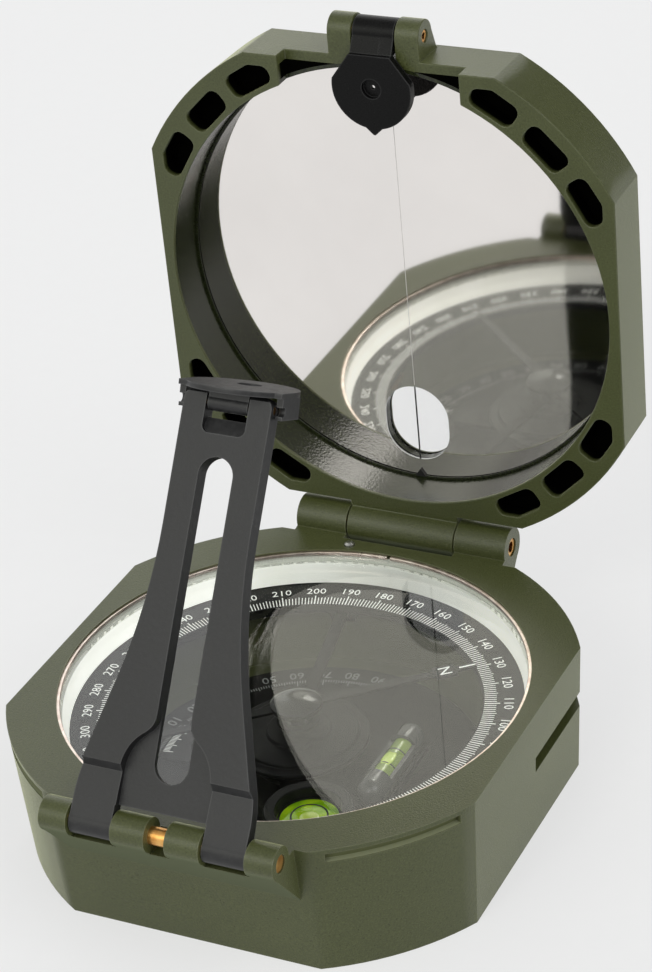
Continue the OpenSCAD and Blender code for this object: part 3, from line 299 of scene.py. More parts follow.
def enamel(name, dark, mid, light, edge, grain, height, gloss, shine, sheen, wear, coats_and_shading=None):
    """Enamel in three tones, with lighter edges. Grain and height are in millimetres."""
    material, tree, output = new_material(name)
    place = add(tree, "TexCoord").outputs["Object"]
    patches = add(tree, "TexNoise", Vector=place, Scale=1 / (PATCH * MM), Detail=2.0, Roughness=0.5)
    specks = add(tree, "TexNoise", Vector=place, Scale=1 / (grain * MM), Detail=3.0, Roughness=0.65)
    tone = add(tree, "Math", operation="MULTIPLY_ADD", in0=patches.outputs["Fac"], in1=PATCH_SHARE,
               in2=specks.outputs["Fac"])
    middle = 0.5 + 0.5 * PATCH_SHARE
    tone = add(tree, "MapRange", Value=tone.outputs[0], From_Min=middle - TONE_SPREAD,
               From_Max=middle + TONE_SPREAD)
    colour = add(tree, "ValToRGB", Fac=tone.outputs[0], stops=[(0.0, dark), (0.5, mid), (1.0, light)])

    rounded = add(tree, "Bevel", Radius=RUBBED_EDGE * MM, samples=6)
    bare = add(tree, "NewGeometry")
    turn = add(tree, "VectorMath", operation="DOT_PRODUCT", in0=rounded.outputs["Normal"],
               in1=bare.outputs["Normal"])
    edges = add(tree, "MapRange", Value=turn.outputs["Value"], From_Min=FLAT_TURN, From_Max=EDGE_TURN)
    rubbed = overlap(tree, edges.outputs[0], wear, patches.outputs["Fac"])
    colour = add(tree, "MixRGB", Fac=rubbed, Color1=colour.outputs["Color"], Color2=edge)

    rough = add(tree, "MapRange", Value=specks.outputs["Fac"], From_Min=0.3, From_Max=0.7,
                To_Min=gloss - SMOOTHER, To_Max=gloss + ROUGHER)
    bump = add(tree, "Bump", Height=specks.outputs["Fac"], Distance=height * MM, Strength=0.6)
    paint = add(tree, "BsdfPrincipled", Base_Color=colour.outputs[0], Roughness=rough.outputs[0],
                Specular_IOR_Level=shine, Sheen_Weight=sheen, Sheen_Roughness=0.3, Sheen_Tint="#c8cc9a",
                Normal=bump.outputs[0])
    # The coats and the painted light and shade from the list are laid over the paint here, each after its
    # mask.
    for mask, overlay_shader in (coats_and_shading(tree, place) if coats_and_shading else ()):
        paint = add(tree, "MixShader", Fac=mask, in1=paint.outputs[0], in2=overlay_shader)
    tree.links.new(paint.outputs[0], output.inputs["Surface"])
    return material


print("enamel: patches of", PATCH, "mm, rubbed edges of", RUBBED_EDGE, "mm")

# %% [markdown]
# The case and the lid share one olive. The sight arm and its leaf have a matt black enamel with a
# coarser and flatter grain. The small sight on the lid is darker and smoother. The blacks have no
# pale bloom.

# %% Mix the paints
OLIVE = dict(dark="#2c3015", mid="#3f4422", light="#545935", edge="#7b7d64",
             grain=0.25, height=0.08, gloss=0.33, shine=0.45, sheen=0.95, wear=0.6)
olive = enamel("olive_enamel_on_cast_metal", **OLIVE, coats_and_shading=case_coats)
lid_olive = enamel("olive_enamel_on_the_lid", **OLIVE, coats_and_shading=lid_coats)
black = enamel("matt_black_enamel", dark="#0f0f10", mid="#1e1e1f", light="#2f2f30", edge="#5c5c5c",
               grain=0.8, height=0.05, gloss=0.48, shine=0.4, sheen=0.0, wear=0.7)
disc_black = enamel("black_enamel_on_the_small_sight", dark="#070707", mid="#0c0c0c", light="#151516",
                    edge="#5c5c5c", grain=0.25, height=0.03, gloss=0.3, shine=0.12, sheen=0.0, wear=0.6)
print("paints:", olive.name, lid_olive.name, black.name, disc_black.name)

# %% [markdown]
# ## Bare metals
# The hinge pins, the bush and the adjusting screw are turned brass, bright orange-gold with fine
# rings from the lathe. The lift pin and the clinometer's shaft and lever are steel. The snap ring is
# spring steel that has warmed to a pinkish grey. Anisotropic shading could stand for the rings, but
# it doesn't show their spacing. So a stretched noise makes them, in the gloss and in a shallow bump.

# %% Turned brass and steel
STRETCH, SMUDGE = 25, 1.5
RING_DEPTH = 0.003


def turned_metal(name, dark, light, roughness, ring):
    """Metal from the lathe, with rings this many millimetres apart and soft smudges."""
    material, tree, output = new_material(name)
    place = add(tree, "TexCoord").outputs["Object"]
    along = 1 / (STRETCH * MM)
    stretched = add(tree, "Mapping", Vector=place, Scale=(1 / (ring * MM), along, along))
    rings = add(tree, "TexNoise", Vector=stretched.outputs[0], Scale=1.0, Detail=2.0)
    smudge = add(tree, "TexNoise", Vector=place, Scale=1 / (SMUDGE * MM), Detail=3.0)
    colour = add(tree, "ValToRGB", Fac=smudge.outputs["Fac"], stops=[(0.3, dark), (0.7, light)])
    rough = add(tree, "MapRange", Value=rings.outputs["Fac"], To_Min=roughness - 0.08,
                To_Max=roughness + 0.1)
    bump = add(tree, "Bump", Height=rings.outputs["Fac"], Distance=RING_DEPTH * MM, Strength=0.3)
    metal = add(tree, "BsdfPrincipled", Base_Color=colour.outputs["Color"], Metallic=1.0,
                Roughness=rough.outputs[0], Normal=bump.outputs[0])
    tree.links.new(metal.outputs[0], output.inputs["Surface"])
    return material


brass = turned_metal("turned_brass", "#c98a45", "#ecbd74", roughness=0.3, ring=0.4)
steel = turned_metal("bright_turned_steel", "#b4b5b4", "#d8d8d6", roughness=0.25, ring=0.4)
snap_wire = turned_metal("spring_steel_wire", "#cfbdb2", "#f4e8de", roughness=0.3, ring=0.2)
print("metals:", brass.name, steel.name, snap_wire.name)

# %% [markdown]
# ## Dial finishes
# Under the glass almost everything is black in its own way, and the eye tells the pieces apart by their
# shine. They could all be one black, but then the dial would look like a hole. One recipe gives them all:
# a slow cloud in the colour and a fine grain in the gloss. White plastic also lets light wander inside
# it. Subsurface light would be slow here, so a faint painted glow, an emission on a part that is no lamp,
# brightens it instead. On the wall ring the painted glow follows the way that a face is turned, as
# painted light from the right: `turned` is a ramp from left-facing to right-facing, and the grey of each
# stop is the strength.

# %% The recipe for satin and moulded finishes
CLOUD = 5


def satin(name, dark, light, roughness, grain, height, painted_glow=0.0, shine=0.5, turned=None):
    """A smooth finish with a slow cloud in its colour. Grain and height are in millimetres."""
    material, tree, output = new_material(name)
    place = add(tree, "TexCoord").outputs["Object"]
    cloud = add(tree, "TexNoise", Vector=place, Scale=1 / (CLOUD * MM), Detail=5.0)
    fine = add(tree, "TexNoise", Vector=place, Scale=1 / (grain * MM), Detail=2.0)
    colour = add(tree, "ValToRGB", Fac=cloud.outputs["Fac"], stops=[(0.3, dark), (0.7, light)])
    colour = colour.outputs["Color"]
    rough = add(tree, "MapRange", Value=fine.outputs["Fac"], To_Min=roughness - 0.05,
                To_Max=roughness + 0.05)
    bump = add(tree, "Bump", Height=fine.outputs["Fac"], Distance=height * MM, Strength=0.12)
    # The glow is an emission on a part that is no lamp: painted light.
    finish = add(tree, "BsdfPrincipled", Base_Color=colour, Roughness=rough.outputs[0],
                 Specular_IOR_Level=shine, Normal=bump.outputs[0], Emission_Color=colour,
                 Emission_Strength=painted_glow)
    # Painted light: the glow's strength follows which way a face is turned, from a ramp.
    if turned:
        facing = add(tree, "SeparateXYZ", Vector=add(tree, "TexCoord").outputs["Normal"])
        facing = add(tree, "MapRange", Value=facing.outputs["X"], From_Min=-1.0, From_Max=1.0)
        strength = add(tree, "ValToRGB", Fac=facing.outputs[0], stops=turned)
        tree.links.new(strength.outputs["Color"], finish.inputs["Emission Strength"])
    tree.links.new(finish.outputs[0], output.inputs["Surface"])
    return material


print("satin: clouds of", CLOUD, "mm")

# %% [markdown]
# The dial ring and the scale plate are satin black, dim enough for the printing to stand out. The works
# below are a shade more matt, the needle's cap is a glossy bead, and the lifter is blackened spring steel
# that hardly shows. The tube level's case is smoked plastic. Printing is white ink on the dial, with a
# faint painted glow, and faded grey ink on the deep scale. The lines on the vials are black, and the line
# on the mirror is etched, so it looks pale and dull. The white wall ring is painted lighter by its glow
# on faces turned to the right.

# %% Mix the dial's finishes
dial_black = satin("satin_black_dial", "#0d0d0e", "#141415", 0.45, grain=0.15, height=0.004, shine=0.2)
works_black = satin("matt_black_works", "#0d0d0e", "#161617", 0.4, grain=0.2, height=0.01, shine=0.15)
cap_black = satin("glossy_black_cap", "#101011", "#19191a", 0.12, grain=0.4, height=0.002)
tube_grey = satin("smoked_plastic_tube", "#3c3d3c", "#4d4e4c", 0.2, grain=0.4, height=0.004)
lifter_black = satin("blackened_spring_steel", "#050505", "#090909", 0.65, grain=0.2, height=0.004,
                     shine=0.1)
# Painted light: the white wall glows, most on faces turned to the right and least on faces turned forward
# or back.
wall_white = satin("white_moulded_wall", "#eeeee6", "#f4f4ee", 0.35, grain=0.3, height=0.004,
                   turned=[(0.0, "#bcbcbc"), (0.5, "#5c5c5c"), (1.0, "#e4e4e4")])
# Painted light: the white printing glows faintly.
print_white = satin("white_dial_printing", "#eeeeea", "#f6f6f3", 0.5, grain=0.1, height=0.002,
                    painted_glow=0.25)
print_grey = satin("faded_scale_printing", "#8f908f", "#a5a6a5", 0.5, grain=0.1, height=0.002)
line_black = satin("black_hairline", "#0b0b0b", "#141414", 0.4, grain=0.2, height=0.002)
etched = satin("etched_mirror_line", "#b9b6b1", "#cfccc8", 0.6, grain=0.2, height=0.002)
print("dial finishes:", dial_black.name, works_black.name, wall_white.name, print_white.name)

# %% [markdown]
# ## Crystal and window
# The crystal and the window pane are flat polished glass: almost clear, with a reflection that grows
# as the eye looks more along the face. A refracting solid would be the true way, but light reaches
# the dial badly through it, and the picture would be noisy. So clear glass is mixed with a gloss. The
# share of gloss goes from 5 percent, seen straight on, to all of it, by the fifth power of the slant.

# %% Clear glass
SMEAR = 12
GLOSS_STRAIGHT_ON = 0.05


def clear_glass(name, tint, haze):
    """Flat glass that lets light through, with wiped smears that blur its gloss by up to haze."""
    material, tree, output = new_material(name)
    place = add(tree, "TexCoord").outputs["Object"]
    smear = add(tree, "TexNoise", Vector=place, Scale=1 / (SMEAR * MM), Detail=3.0)
    rough = add(tree, "MapRange", Value=smear.outputs["Fac"], To_Min=0.0, To_Max=haze)
    clear = add(tree, "BsdfTransparent", Color=tint)
    gloss = add(tree, "BsdfGlossy", Roughness=rough.outputs[0])
    slant = add(tree, "LayerWeight", Blend=0.5)
    share = add(tree, "Math", operation="POWER", in0=slant.outputs["Facing"], in1=5.0)
    share = add(tree, "Math", operation="MULTIPLY_ADD", in0=share.outputs[0], in1=1 - GLOSS_STRAIGHT_ON,
                in2=GLOSS_STRAIGHT_ON)
    glass = add(tree, "MixShader", Fac=share.outputs[0], in1=clear.outputs[0], in2=gloss.outputs[0])
    tree.links.new(glass.outputs[0], output.inputs["Surface"])
    return material


crystal_glass = clear_glass("polished_crystal", "#fbfcfb", haze=0.004)
pane_glass = clear_glass("window_glass", "#ffffff", haze=0.004)
print("glass:", crystal_glass.name, pane_glass.name)

# %% [markdown]
# ## Mirror
# The mirror is silvered glass, a touch warm, with faint clouding that softens what it shows. It sits
# a degree or so out of square in its cup, as a glued mirror does. The solid can't be turned, so its
# shading normal leans instead. The ground edge round its window isn't silvered: from the front it
# shows bright glass, then the dark back of the silver, then the dull wall behind, as a ramp over depth.

# %% Silvered glass
MIRROR_CLOUD = 20
MIRROR_LEAN = (-0.0123, 0, -0.0218)
CLEAREST, DULLEST = 0.028, 0.05
FACES_FRONT = 0.7


def silvered(name, dark, light):
    """A mirror whose flat faces are silvered and whose edge is ground glass."""
    material, tree, output = new_material(name)
    place = add(tree, "TexCoord").outputs["Object"]
    cloud = add(tree, "TexNoise", Vector=place, Scale=1 / (MIRROR_CLOUD * MM), Detail=4.0)
    colour = add(tree, "ValToRGB", Fac=cloud.outputs["Fac"], stops=[(0.3, dark), (0.7, light)])
    rough = add(tree, "MapRange", Value=cloud.outputs["Fac"], To_Min=CLEAREST, To_Max=DULLEST)
    lean = add(tree, "VectorTransform", vector_type="VECTOR", convert_from="OBJECT", convert_to="WORLD",
               Vector=MIRROR_LEAN)
    seat = add(tree, "VectorMath", operation="ADD", in0=add(tree, "NewGeometry").outputs["Normal"],
               in1=lean.outputs[0])
    seat = add(tree, "VectorMath", operation="NORMALIZE", in0=seat.outputs[0])
    silver = add(tree, "BsdfPrincipled", Base_Color=colour.outputs["Color"], Metallic=1.0,
                 Roughness=rough.outputs[0], Normal=seat.outputs[0])

    facing = add(tree, "SeparateXYZ", Vector=add(tree, "TexCoord").outputs["Normal"])
    flat = add(tree, "Math", operation="ABSOLUTE", in0=facing.outputs["Y"])
    flat = add(tree, "Math", operation="GREATER_THAN", in0=flat.outputs[0], in1=FACES_FRONT)
    depth = add(tree, "SeparateXYZ", Vector=place)
    depth = add(tree, "MapRange", Value=depth.outputs["Y"], From_Min=mirror_front.y,
                From_Max=mirror_back.y)
    ground = add(tree, "ValToRGB", Fac=depth.outputs[0],
                 stops=[(0.0, "#f0f0ec"), (0.14, "#f0f0ec"), (0.2, "#0c0c0a"), (0.4, "#0c0c0a"),
                        (0.5, "#4a4b3d"), (1.0, "#33342a")])
    edge = add(tree, "BsdfDiffuse", Color=ground.outputs["Color"])
    whole = add(tree, "MixShader", Fac=flat.outputs[0], in1=edge.outputs[0], in2=silver.outputs[0])
    tree.links.new(whole.outputs[0], output.inputs["Surface"])
    return material


mirror = silvered("silvered_mirror", "#ece8e5", "#f2eeeb")
print("mirror:", mirror.name)

# %% [markdown]
# ## Spirit in the vials
# The vials hold yellow-green spirit, whose dye seems to glow from inside. A volume would be the true way,
# but it is slow for two vials of a few millimetres. So the liquid is a solid colour with slow swirls, a
# faint painted glow from an emission, and a clear coat for the glass. The tube looks duller, and the
# bubbles are paler, with a faint painted glow of their own.

# %% Spirit and bubbles
SWIRL = 2.5


def spirit(name, deep, bright, painted_glow):
    """A vial's liquid under clear glass."""
    material, tree, output = new_material(name)
    place = add(tree, "TexCoord").outputs["Object"]
    swirl = add(tree, "TexNoise", Vector=place, Scale=1 / (SWIRL * MM), Detail=2.0)
    colour = add(tree, "ValToRGB", Fac=swirl.outputs["Fac"], stops=[(0.35, deep), (0.65, bright)])
    colour = colour.outputs["Color"]
    # Painted light: the spirit and the bubbles glow by emission, though they are no lamp.
    liquid = add(tree, "BsdfPrincipled", Base_Color=colour, Roughness=0.12, Coat_Weight=0.3,
                 Coat_Roughness=0.02, Emission_Color=colour, Emission_Strength=painted_glow)
    tree.links.new(liquid.outputs[0], output.inputs["Surface"])
    return material


vial_green = spirit("yellow_green_spirit", "#76a60c", "#a8cc14", painted_glow=0.15)
tube_green = spirit("pale_green_spirit", "#7a9438", "#94aa48", painted_glow=0.0)
bubble_pale = spirit("air_bubble", "#b4d046", "#cde070", painted_glow=0.12)
print("spirit:", vial_green.name, tube_green.name, bubble_pale.name)

# %% [markdown]
# ## Dressing the CAD pieces
# Every CAD piece keeps its shape and its place. Straight from CAD its edges are razor sharp, and no
# real edge is, so light never catches on them. The edges could be rounded in CAD, one by one, but
# modifiers do it to all of them and leave the mesh as it is. A weld joins the seams, a planar pass
# clears needless lines from flat faces, and a small bevel rounds the edges. Glass and mirror stay
# flat, because a rounded normal would bend what they show.

# %% Give each CAD piece its material and soft edges
DRESS = {
    olive: ["body_case"],
    lid_olive: ["lid_shell", "mirror_gasket"],
    black: ["sight_arm", "peep_sight"],
    disc_black: ["small_sight"],
    brass: ["lid_hinge_pin", "arm_hinge_pin", "sight_pin", "peep_pin", "clinometer_bush", "lifter_pin",
            "azimuth_screw"],
    snap_wire: ["snap_ring"],
    steel: ["clinometer_shaft", "clinometer_lever", "lift_pin"],
    dial_black: ["azimuth_ring", "scale_plate"],
    works_black: ["clinometer_hub", "level_bracket", "round_level_case", "vernier_arm", "needle",
                  "needle_pivot"],
    lifter_black: ["needle_lifter", "lifter_bracket"],
    cap_black: ["needle_cap"],
    tube_grey: ["tube_level_case"],
    wall_white: ["wall_ring"],
    crystal_glass: ["crystal"],
    pane_glass: ["window_pane"],
    mirror: ["mirror"],
    vial_green: ["round_vial"],
    tube_green: ["tube_vial"],
}
FLAT = ("mirror", "crystal", "window_pane")
BEVEL_MM = {"body_case": 0.3, "lid_shell": 0.3, "sight_arm": 0.22, "peep_sight": 0.2,
            "small_sight": 0.2, "tube_level_case": 0.25, "round_level_case": 0.2, "clinometer_hub": 0.2}
SMALL_BEVEL_MM = 0.08
SEAM_MM = 0.002
FLAT_ANGLE, SHARP_ANGLE = radians(0.5), radians(30)


def soften(piece, width):
    """Rounds a piece's edges by a width in millimetres."""
    weld = piece.modifiers.new("weld", "WELD")
    weld.merge_threshold = SEAM_MM * MM
    planar = piece.modifiers.new("planar", "DECIMATE")
    planar.decimate_type = "DISSOLVE"
    planar.angle_limit = FLAT_ANGLE
    bevel = piece.modifiers.new("bevel", "BEVEL")
    bevel.width = width * MM
    bevel.segments = 2
    bevel.limit_method = "ANGLE"
    bevel.angle_limit = SHARP_ANGLE
    piece.modifiers.new("normals", "WEIGHTED_NORMAL")


for material, names in DRESS.items():
    for name in names:
        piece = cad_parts[name]
        piece.data.materials.clear()
        piece.data.materials.append(material)
        if name in FLAT:
            piece.data.shade_flat()
        else:
            piece.data.shade_smooth()
            soften(piece, BEVEL_MM.get(name, SMALL_BEVEL_MM))
print("dressed", sum(len(names) for names in DRESS.values()), "pieces")

# %% [markdown]
# ## Printing and fine marks
# On the real dial the lines and numbers are ink, a few hundredths of a millimetre thick. A texture
# could show them, but a picture goes soft from close by. So each mark is a thin solid just above the
# face that carries it, and each group of marks becomes one piece that rides with its body.

# %% Helpers for finished pieces
def new_piece(name, mesh, material, body):
    """A finished piece that rides with a body."""
    piece = bpy.data.objects.new(name, mesh)
    mesh.materials.append(material)
    scene.collection.objects.link(piece)
    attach(piece, body)
    return piece


def finish_mesh(name, work):
    """A mesh from finished work, with its faces turned outwards."""
    bmesh.ops.recalc_face_normals(work, faces=work.faces)
    mesh = bpy.data.meshes.new(name)
    work.to_mesh(mesh)
    work.free()
    return mesh


# %% [markdown]
# A number is Blender's own text made solid, which saves drawing its outlines. It is turned so that its
# top points where the real number's top points, and only its mesh is kept.

# %% A helper for numbers and letters
INK = 0.02 * MM
UPWARD = Vector((0, 0, 1))


def add_text(into, text, size, centre, upward, thick=INK):
    """Adds a word as a thin solid whose letters stand along upward, in the XY plane."""
    curve = bpy.data.curves.new("word", "FONT")
    curve.body = text
    curve.size = size
    curve.align_x = "CENTER"
    curve.align_y = "CENTER"
    curve.extrude = thick / 2
    curve.resolution_u = 2
    word = bpy.data.objects.new("word", curve)
    mesh = word.to_mesh()
    upward = Vector(upward).normalized()
    rightward = upward.cross(UPWARD)
    turn = Matrix((rightward, upward, UPWARD)).transposed().to_4x4()
    mesh.transform(Matrix.Translation(centre) @ turn)
    into.from_mesh(mesh)
    word.to_mesh_clear()
    bpy.data.objects.remove(word)
    bpy.data.curves.remove(curve)


print("ink is", round(INK / MM, 3), "mm thick")

# %% [markdown]
# A line is a bar between two points. A scaled cube could be one too, but eight corners placed straight
# from the two points need no turning. Places on the dial are given as a surveyor would give them, by
# radius and degrees, and lines are longer at every fifth and tenth step.

# %% Helpers for lines and places on the dial
def add_bar(into, start, end, width, thick=INK, upward=UPWARD):
    """Adds a thin bar from start to end, standing on its face towards upward."""
    along = (end - start).normalized()
    side = along.cross(upward).normalized() * width / 2
    lift = upward.normalized() * thick
    corners = [start - side, start + side, end + side, end - side]
    low = [into.verts.new(c) for c in corners]
    high = [into.verts.new(c + lift) for c in corners]
    into.faces.new(high)
    into.faces.new(low[::-1])
    for i in range(4):
        j = (i + 1) % 4
        into.faces.new((low[i], low[j], high[j], high[i]))


def dial_point(radius, degrees, z):
    """A point on the dial, its radius in millimetres: 0 degrees in front, counted towards the right."""
    a = radians(degrees)
    return Vector((radius * sin(a) * MM, -radius * cos(a) * MM, z))


def step_of(count):
    """The roundest step that a count falls on: 10, 5 or 1."""
    return next(step for step in (10, 5, 1) if count % step == 0)


print("step of 90 degrees:", step_of(90), "and of 45 degrees:", step_of(45))

# %% [markdown]
# The degree ring turns, so that it can be set to the local north. It carries a line for every degree,
# longer at every fifth and tenth, and a number every ten degrees, read with its top towards the rim.
# An Array modifier could repeat one line, but a loop can also change its length.

# %% Print the degree ring
ring_top = measure("azimuth_ring")[1].z
RING_FOOT_R = 26.4
RING_END_R = {10: 28.6, 5: 28.3, 1: 28.1}
RING_LINE_W = {10: 0.17, 5: 0.13, 1: 0.13}
RING_NUMBER_R, RING_NUMBER_SIZE = 29.75, 2.0
work = bmesh.new()
for degree in range(360):
    step = step_of(degree)
    add_bar(work, dial_point(RING_FOOT_R, degree, ring_top),
            dial_point(RING_END_R[step], degree, ring_top), RING_LINE_W[step] * MM)
for degree in range(0, 360, 10):
    spot = dial_point(RING_NUMBER_R, degree, ring_top + INK / 2)
    add_text(work, str(degree), RING_NUMBER_SIZE * MM, spot, (spot.x, spot.y, 0))
new_piece("ring_printing", finish_mesh("ring_printing", work), print_white, "dial_ring")
print("ring: 360 lines and 36 numbers at", round(ring_top / MM, 2), "mm")

# %% [markdown]
# Deep in the well lies the clinometer's own scale, half a turn from front to rear, numbered from 0
# on the left to 90 at both ends. It is paler grey, and its numbers stand with their tops inwards. The
# whole scale lies two degrees round from square. The vernier over it has finer lines, 0.9 degrees
# apart, so that one of them always meets a line of the scale.

# %% Print the clinometer scale and the vernier
plate_top = measure("scale_plate")[1].z
SCALE_FOOT_R = {10: 21.3, 5: 21.7, 1: 22.0}
SCALE_END_R, SCALE_LINE_W = 22.6, 0.14
SCALE_NUMBER_R, SCALE_NUMBER_SIZE = 24.0, 2.3
SCALE_ZERO, SCALE_TURN = 270, -2
work = bmesh.new()
for degree in range(180, 361):
    angle = degree + SCALE_TURN
    add_bar(work, dial_point(SCALE_FOOT_R[step_of(degree)], angle, plate_top),
            dial_point(SCALE_END_R, angle, plate_top), SCALE_LINE_W * MM)
for degree in range(180, 361, 10):
    spot = dial_point(SCALE_NUMBER_R, degree + SCALE_TURN, plate_top + INK / 2)
    add_text(work, str(abs(SCALE_ZERO - degree)), SCALE_NUMBER_SIZE * MM, spot, (-spot.x, -spot.y, 0))
new_piece("clinometer_printing", finish_mesh("clinometer_printing", work), print_grey,
          "case")

VERNIER_TOP = 4.9 * MM
VERNIER_FOOT_R = {10: 19.6, 5: 19.6, 1: 20.2}
VERNIER_END_R, VERNIER_LINE_W, VERNIER_STEP = 21.1, 0.12, 0.9
work = bmesh.new()
for count in range(-10, 11):
    angle = SCALE_ZERO + count * VERNIER_STEP
    add_bar(work, dial_point(VERNIER_FOOT_R[step_of(count)], angle, VERNIER_TOP),
            dial_point(VERNIER_END_R, angle, VERNIER_TOP), VERNIER_LINE_W * MM)
new_piece("vernier_printing", finish_mesh("vernier_printing", work), print_white,
          "clinometer")
print("clinometer: 181 lines and 19 numbers, vernier: 21 lines")

# %% [markdown]
# One end of the needle points north. It carries a white line at its tip and an N, both printed on its
# flat top, so that they swing with it.

# %% Mark the needle
needle_top = measure("needle")[1].z
NEEDLE_ANGLE = 130
TIP_LINE_R, TIP_LINE_W = (23.9, 26.3), 0.3
NORTH_R, NORTH_SIZE = 21.7, 2.6
work = bmesh.new()
add_bar(work, *[dial_point(radius, NEEDLE_ANGLE, needle_top) for radius in TIP_LINE_R], TIP_LINE_W * MM)
spot = dial_point(NORTH_R, NEEDLE_ANGLE, needle_top + INK / 2)
add_text(work, "N", NORTH_SIZE * MM, spot, (spot.x, spot.y, 0))
new_piece("needle_mark", finish_mesh("needle_mark", work), print_white, "needle")
print("needle marked at", NEEDLE_ANGLE, "degrees")

# %% [markdown]
# The round level shows a black ring on its glass and another where the glass meets its case. The tube
# level has two black lines round its vial. A torus would be too round for a painted line, so each one
# is a flat band swept round an axis.

# %% Draw the lines on the vials
def add_ring(into, centre, radius, width, thick, side=UPWARD, count=64):
    """Adds a flat band round an axis along side. Its last loop closes on its first."""
    across = side.orthogonal().normalized()
    other = side.cross(across)
    section = ((radius, 0), (radius + width, 0), (radius + width, thick), (radius, thick))
    loops = []
    for i in range(count + 1):
        a = radians(360 * i / count)
        out = across * cos(a) + other * sin(a)
        loops.append([into.verts.new(centre + out * r + side * h) for r, h in section])
    for one, two in zip(loops, loops[1:]):
        for i in range(4):
            j = (i + 1) % 4
            into.faces.new((one[i], one[j], two[j], two[i]))


_, round_top, round_middle = measure("round_vial")
round_glass = Vector((round_middle.x, round_middle.y, round_top.z))
tube_middle = measure("tube_vial")[2]
# Each ring of the round level: how deep it lies, its radius, width and thickness
ROUND_RINGS = ((0.2, 2.4, 0.25, 0.06), (0.65, 4.1, 0.35, 0.2))
TUBE_LINES_Y = (-1.7, 1.7)
TUBE_LINE_R, TUBE_LINE_W, TUBE_LINE_T = 1.58, 0.18, 0.05
work = bmesh.new()
for deep, radius, width, thick in ROUND_RINGS:
    add_ring(work, round_glass - UPWARD * deep * MM, radius * MM, width * MM, thick * MM)
for y in TUBE_LINES_Y:
    foot = tube_middle + Vector((0, y - TUBE_LINE_W / 2, 0)) * MM
    add_ring(work, foot, TUBE_LINE_R * MM, TUBE_LINE_T * MM, TUBE_LINE_W * MM, Vector((0, 1, 0)))
new_piece("vial_lines", finish_mesh("vial_lines", work), line_black, "clinometer")
print("vials: 2 rings and 2 lines")

# %% [markdown]
# A bubble of air lies at the top of each vial, flattened against the glass. It is a ball squashed to
# its real size. The round one sits a little off its ring, as it does on a table that isn't level.

# %% Put the bubbles in the vials
# Each bubble: where it is measured from, its place from there, and its half sizes
BUBBLES = ((round_glass, (0.2, -0.4, -0.1), (1.4, 1.4, 0.16)),
           (tube_middle, (0, -0.6, 1.45), (0.9, 1.9, 0.18)))
work = bmesh.new()
for start, place, size in BUBBLES:
    centre = Matrix.Translation(start + Vector(place) * MM)
    shape = centre @ Matrix.Diagonal((*size, 1)) @ Matrix.Scale(MM, 4)
    bmesh.ops.create_uvsphere(work, u_segments=24, v_segments=12, radius=1, matrix=shape)
mesh = finish_mesh("bubbles", work)
mesh.shade_smooth()
new_piece("bubbles", mesh, bubble_pale, "clinometer")
print("bubbles:", len(BUBBLES))

# %% [markdown]
# The mirror carries a thin etched line from the window up to its top edge, which is laid over the far
# mark when the compass is read. A black hairline crosses the window along the same axis, and a small
# black pointer marks the axis on the lower edge. All three stand on the mirror's face, towards -Y.

# %% Draw the sighting line on the mirror
face = mirror_front.y / MM
toward = Vector((0, -1, 0))
ETCHED_Z, ETCHED_W, ETCHED_T = (42.2, 93.6), 0.09, 0.01
HAIR_Z, HAIR_W, HAIR_T, HAIR_SUNK = (29.6, 41.9), 0.22, 0.08, 0.1
POINTER_HALF, POINTER_LOW, POINTER_TIP = 0.9, 26.75, 28.0
POINTER_LIFTS = (0.02, 0.3)
work = bmesh.new()
add_bar(work, *[Vector((0, face, z)) * MM for z in ETCHED_Z], ETCHED_W * MM, ETCHED_T * MM, toward)
new_piece("mirror_line", finish_mesh("mirror_line", work), etched, "lid")

work = bmesh.new()
sunk = face + HAIR_SUNK
add_bar(work, *[Vector((0, sunk, z)) * MM for z in HAIR_Z], HAIR_W * MM, HAIR_T * MM, toward)
pointer = [work.verts.new(Vector((x, face - lift, z)) * MM) for lift in POINTER_LIFTS for x, z in
           ((-POINTER_HALF, POINTER_LOW), (POINTER_HALF, POINTER_LOW), (0, POINTER_TIP))]
work.faces.new(pointer[:3])
work.faces.new(pointer[5:2:-1])
for i in range(3):
    j = (i + 1) % 3
    work.faces.new((pointer[i], pointer[j], pointer[j + 3], pointer[i + 3]))
new_piece("window_line", finish_mesh("window_line", work), line_black, "lid")
print("sighting line drawn")

# %% [markdown]
# ## Floor
# The compass stands on pale paper that runs out past the picture, so no edge or horizon shows. Lit
# paper alone would come out grey towards its edges, and more light would bleach the compass. So what
# the camera, a reflection or a view through glass sees of the floor is mostly an even pale tone,
# chosen by Light Path. The rest is lit paper, which keeps the soft shadow.

# %% Lay the floor
FLOOR_R = 8  # metres
FLOOR_Z = -0.05 * MM
FIBRE = 3
EVEN_SHARE = 0.72


def seen_rays(tree):
    """A mask for what is seen: by the camera, in a reflection, or through glass."""
    path = add(tree, "LightPath").outputs
    seen = add(tree, "Math", operation="MAXIMUM", in0=path["Is Camera Ray"], in1=path["Is Glossy Ray"])
    seen = add(tree, "Math", operation="MAXIMUM", in0=seen.outputs[0], in1=path["Is Transmission Ray"])
    return seen.outputs[0]


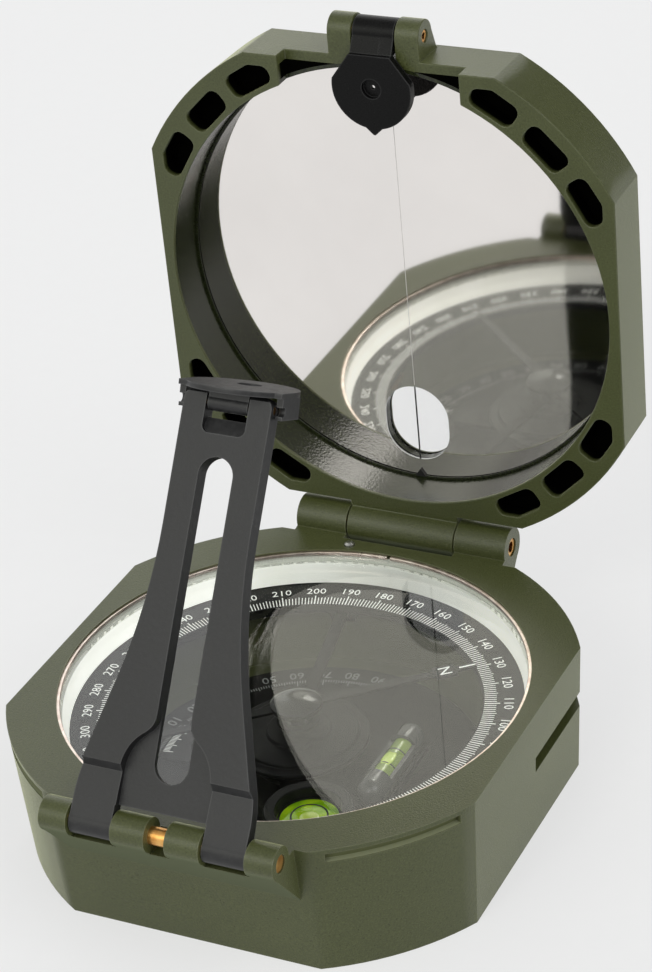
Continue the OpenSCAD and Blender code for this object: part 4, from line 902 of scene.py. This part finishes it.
work = bmesh.new()
bmesh.ops.create_circle(work, cap_ends=True, segments=96, radius=FLOOR_R)
floor = bpy.data.objects.new("floor", finish_mesh("floor", work))
floor.location.z = FLOOR_Z
scene.collection.objects.link(floor)
material, tree, output = new_material("pale_paper_floor")
place = add(tree, "TexCoord").outputs["Object"]
fibre = add(tree, "TexNoise", Vector=place, Scale=1 / (FIBRE * MM), Detail=3.0)
colour = add(tree, "ValToRGB", Fac=fibre.outputs["Fac"], stops=[(0.3, "#f0f0f0"), (0.7, "#f2f2f2")])
paper = add(tree, "BsdfDiffuse", Color=colour.outputs["Color"])
even = add(tree, "Emission", Color="#ececec", Strength=1.0)
paper = add(tree, "MixShader", Fac=overlap(tree, seen_rays(tree), EVEN_SHARE), in1=paper.outputs[0],
            in2=even.outputs[0])
tree.links.new(paper.outputs[0], output.inputs["Surface"])
floor.data.materials.append(material)
print("floor radius", FLOOR_R, "m")

# %% [markdown]
# ## Sky
# An even sky fills the shadows. What metal and glass reflect of it is pale on the left and darker up
# on the right, like a room with its windows on one side. That gives the crystal its veil and the
# mirror its depth. A picture of a room could do this too, but a ramp over the direction is enough.

# %% Light the sky
DARK_SIDE, DARKEST_AT = (0.62, 0.45, 0.64), 0.8
SKY_STRENGTH = 0.66
world = bpy.data.worlds.new("studio")
scene.world = world
world.use_nodes = True
tree = world.node_tree
tree.nodes.clear()
direction = add(tree, "TexCoord").outputs["Generated"]
shade = add(tree, "VectorMath", operation="DOT_PRODUCT", in0=direction, in1=DARK_SIDE)
shade = add(tree, "MapRange", Value=shade.outputs["Value"], From_Min=0.0, From_Max=DARKEST_AT)
room = add(tree, "ValToRGB", Fac=shade.outputs[0], stops=[(0.0, "#f2f1ed"), (1.0, "#5a5a58")])
shown = add(tree, "Background", Color=room.outputs["Color"], Strength=1.0)
light = add(tree, "Background", Color="#f4f6f8", Strength=SKY_STRENGTH)
sky = add(tree, "MixShader", Fac=seen_rays(tree), in1=light.outputs[0], in2=shown.outputs[0])
tree.links.new(sky.outputs[0], add(tree, "OutputWorld").inputs["Surface"])
print("sky strength", SKY_STRENGTH)

# %% [markdown]
# ## Lamps
# A soft sun from the right gives the case its bright flank. Three softboxes shape the rest: a broad
# one on the front left, a smaller one straight in front that lights the lid's cup, and a large one
# behind that rims the edges. Spot lamps would be too hard for a product picture. Together with the
# sky they light a level surface to about the colour that it is written in.

# %% Hang the lamps
SUN_HEADING = Vector((0.8, -0.2, 0.85))
SUN_STRENGTH, SUN_ANGLE = 0.75, radians(35)
LAMP_DISTANCE = 1.3  # metres
# Each softbox: its name, direction, size in metres, power in watts and tint
LAMPS = (("front_softbox", (-0.41, -0.76, 0.51), 0.8, 2.4, "#f8fbee"),
         ("key_window", (-0.06, -0.77, 0.635), 0.36, 3.6, "#fbfbf6"),
         ("rear_softbox", (-0.42, 0.75, 0.52), 1.1, 3.4, "#ffffff"))

sun = bpy.data.objects.new("soft_sun", bpy.data.lights.new("soft_sun", "SUN"))
sun.data.energy = SUN_STRENGTH
sun.data.angle = SUN_ANGLE
sun.rotation_euler = SUN_HEADING.to_track_quat("Z", "Y").to_euler()
scene.collection.objects.link(sun)
for name, heading, size, power, tint in LAMPS:
    lamp = bpy.data.objects.new(name, bpy.data.lights.new(name, "AREA"))
    lamp.data.size = size
    lamp.data.energy = power
    lamp.data.color = linear(tint)[:3]
    lamp.location = Vector(heading).normalized() * LAMP_DISTANCE
    lamp.rotation_euler = lamp.location.to_track_quat("Z", "Y").to_euler()
    scene.collection.objects.link(lamp)
print("lamps: a sun and", len(LAMPS), "softboxes")
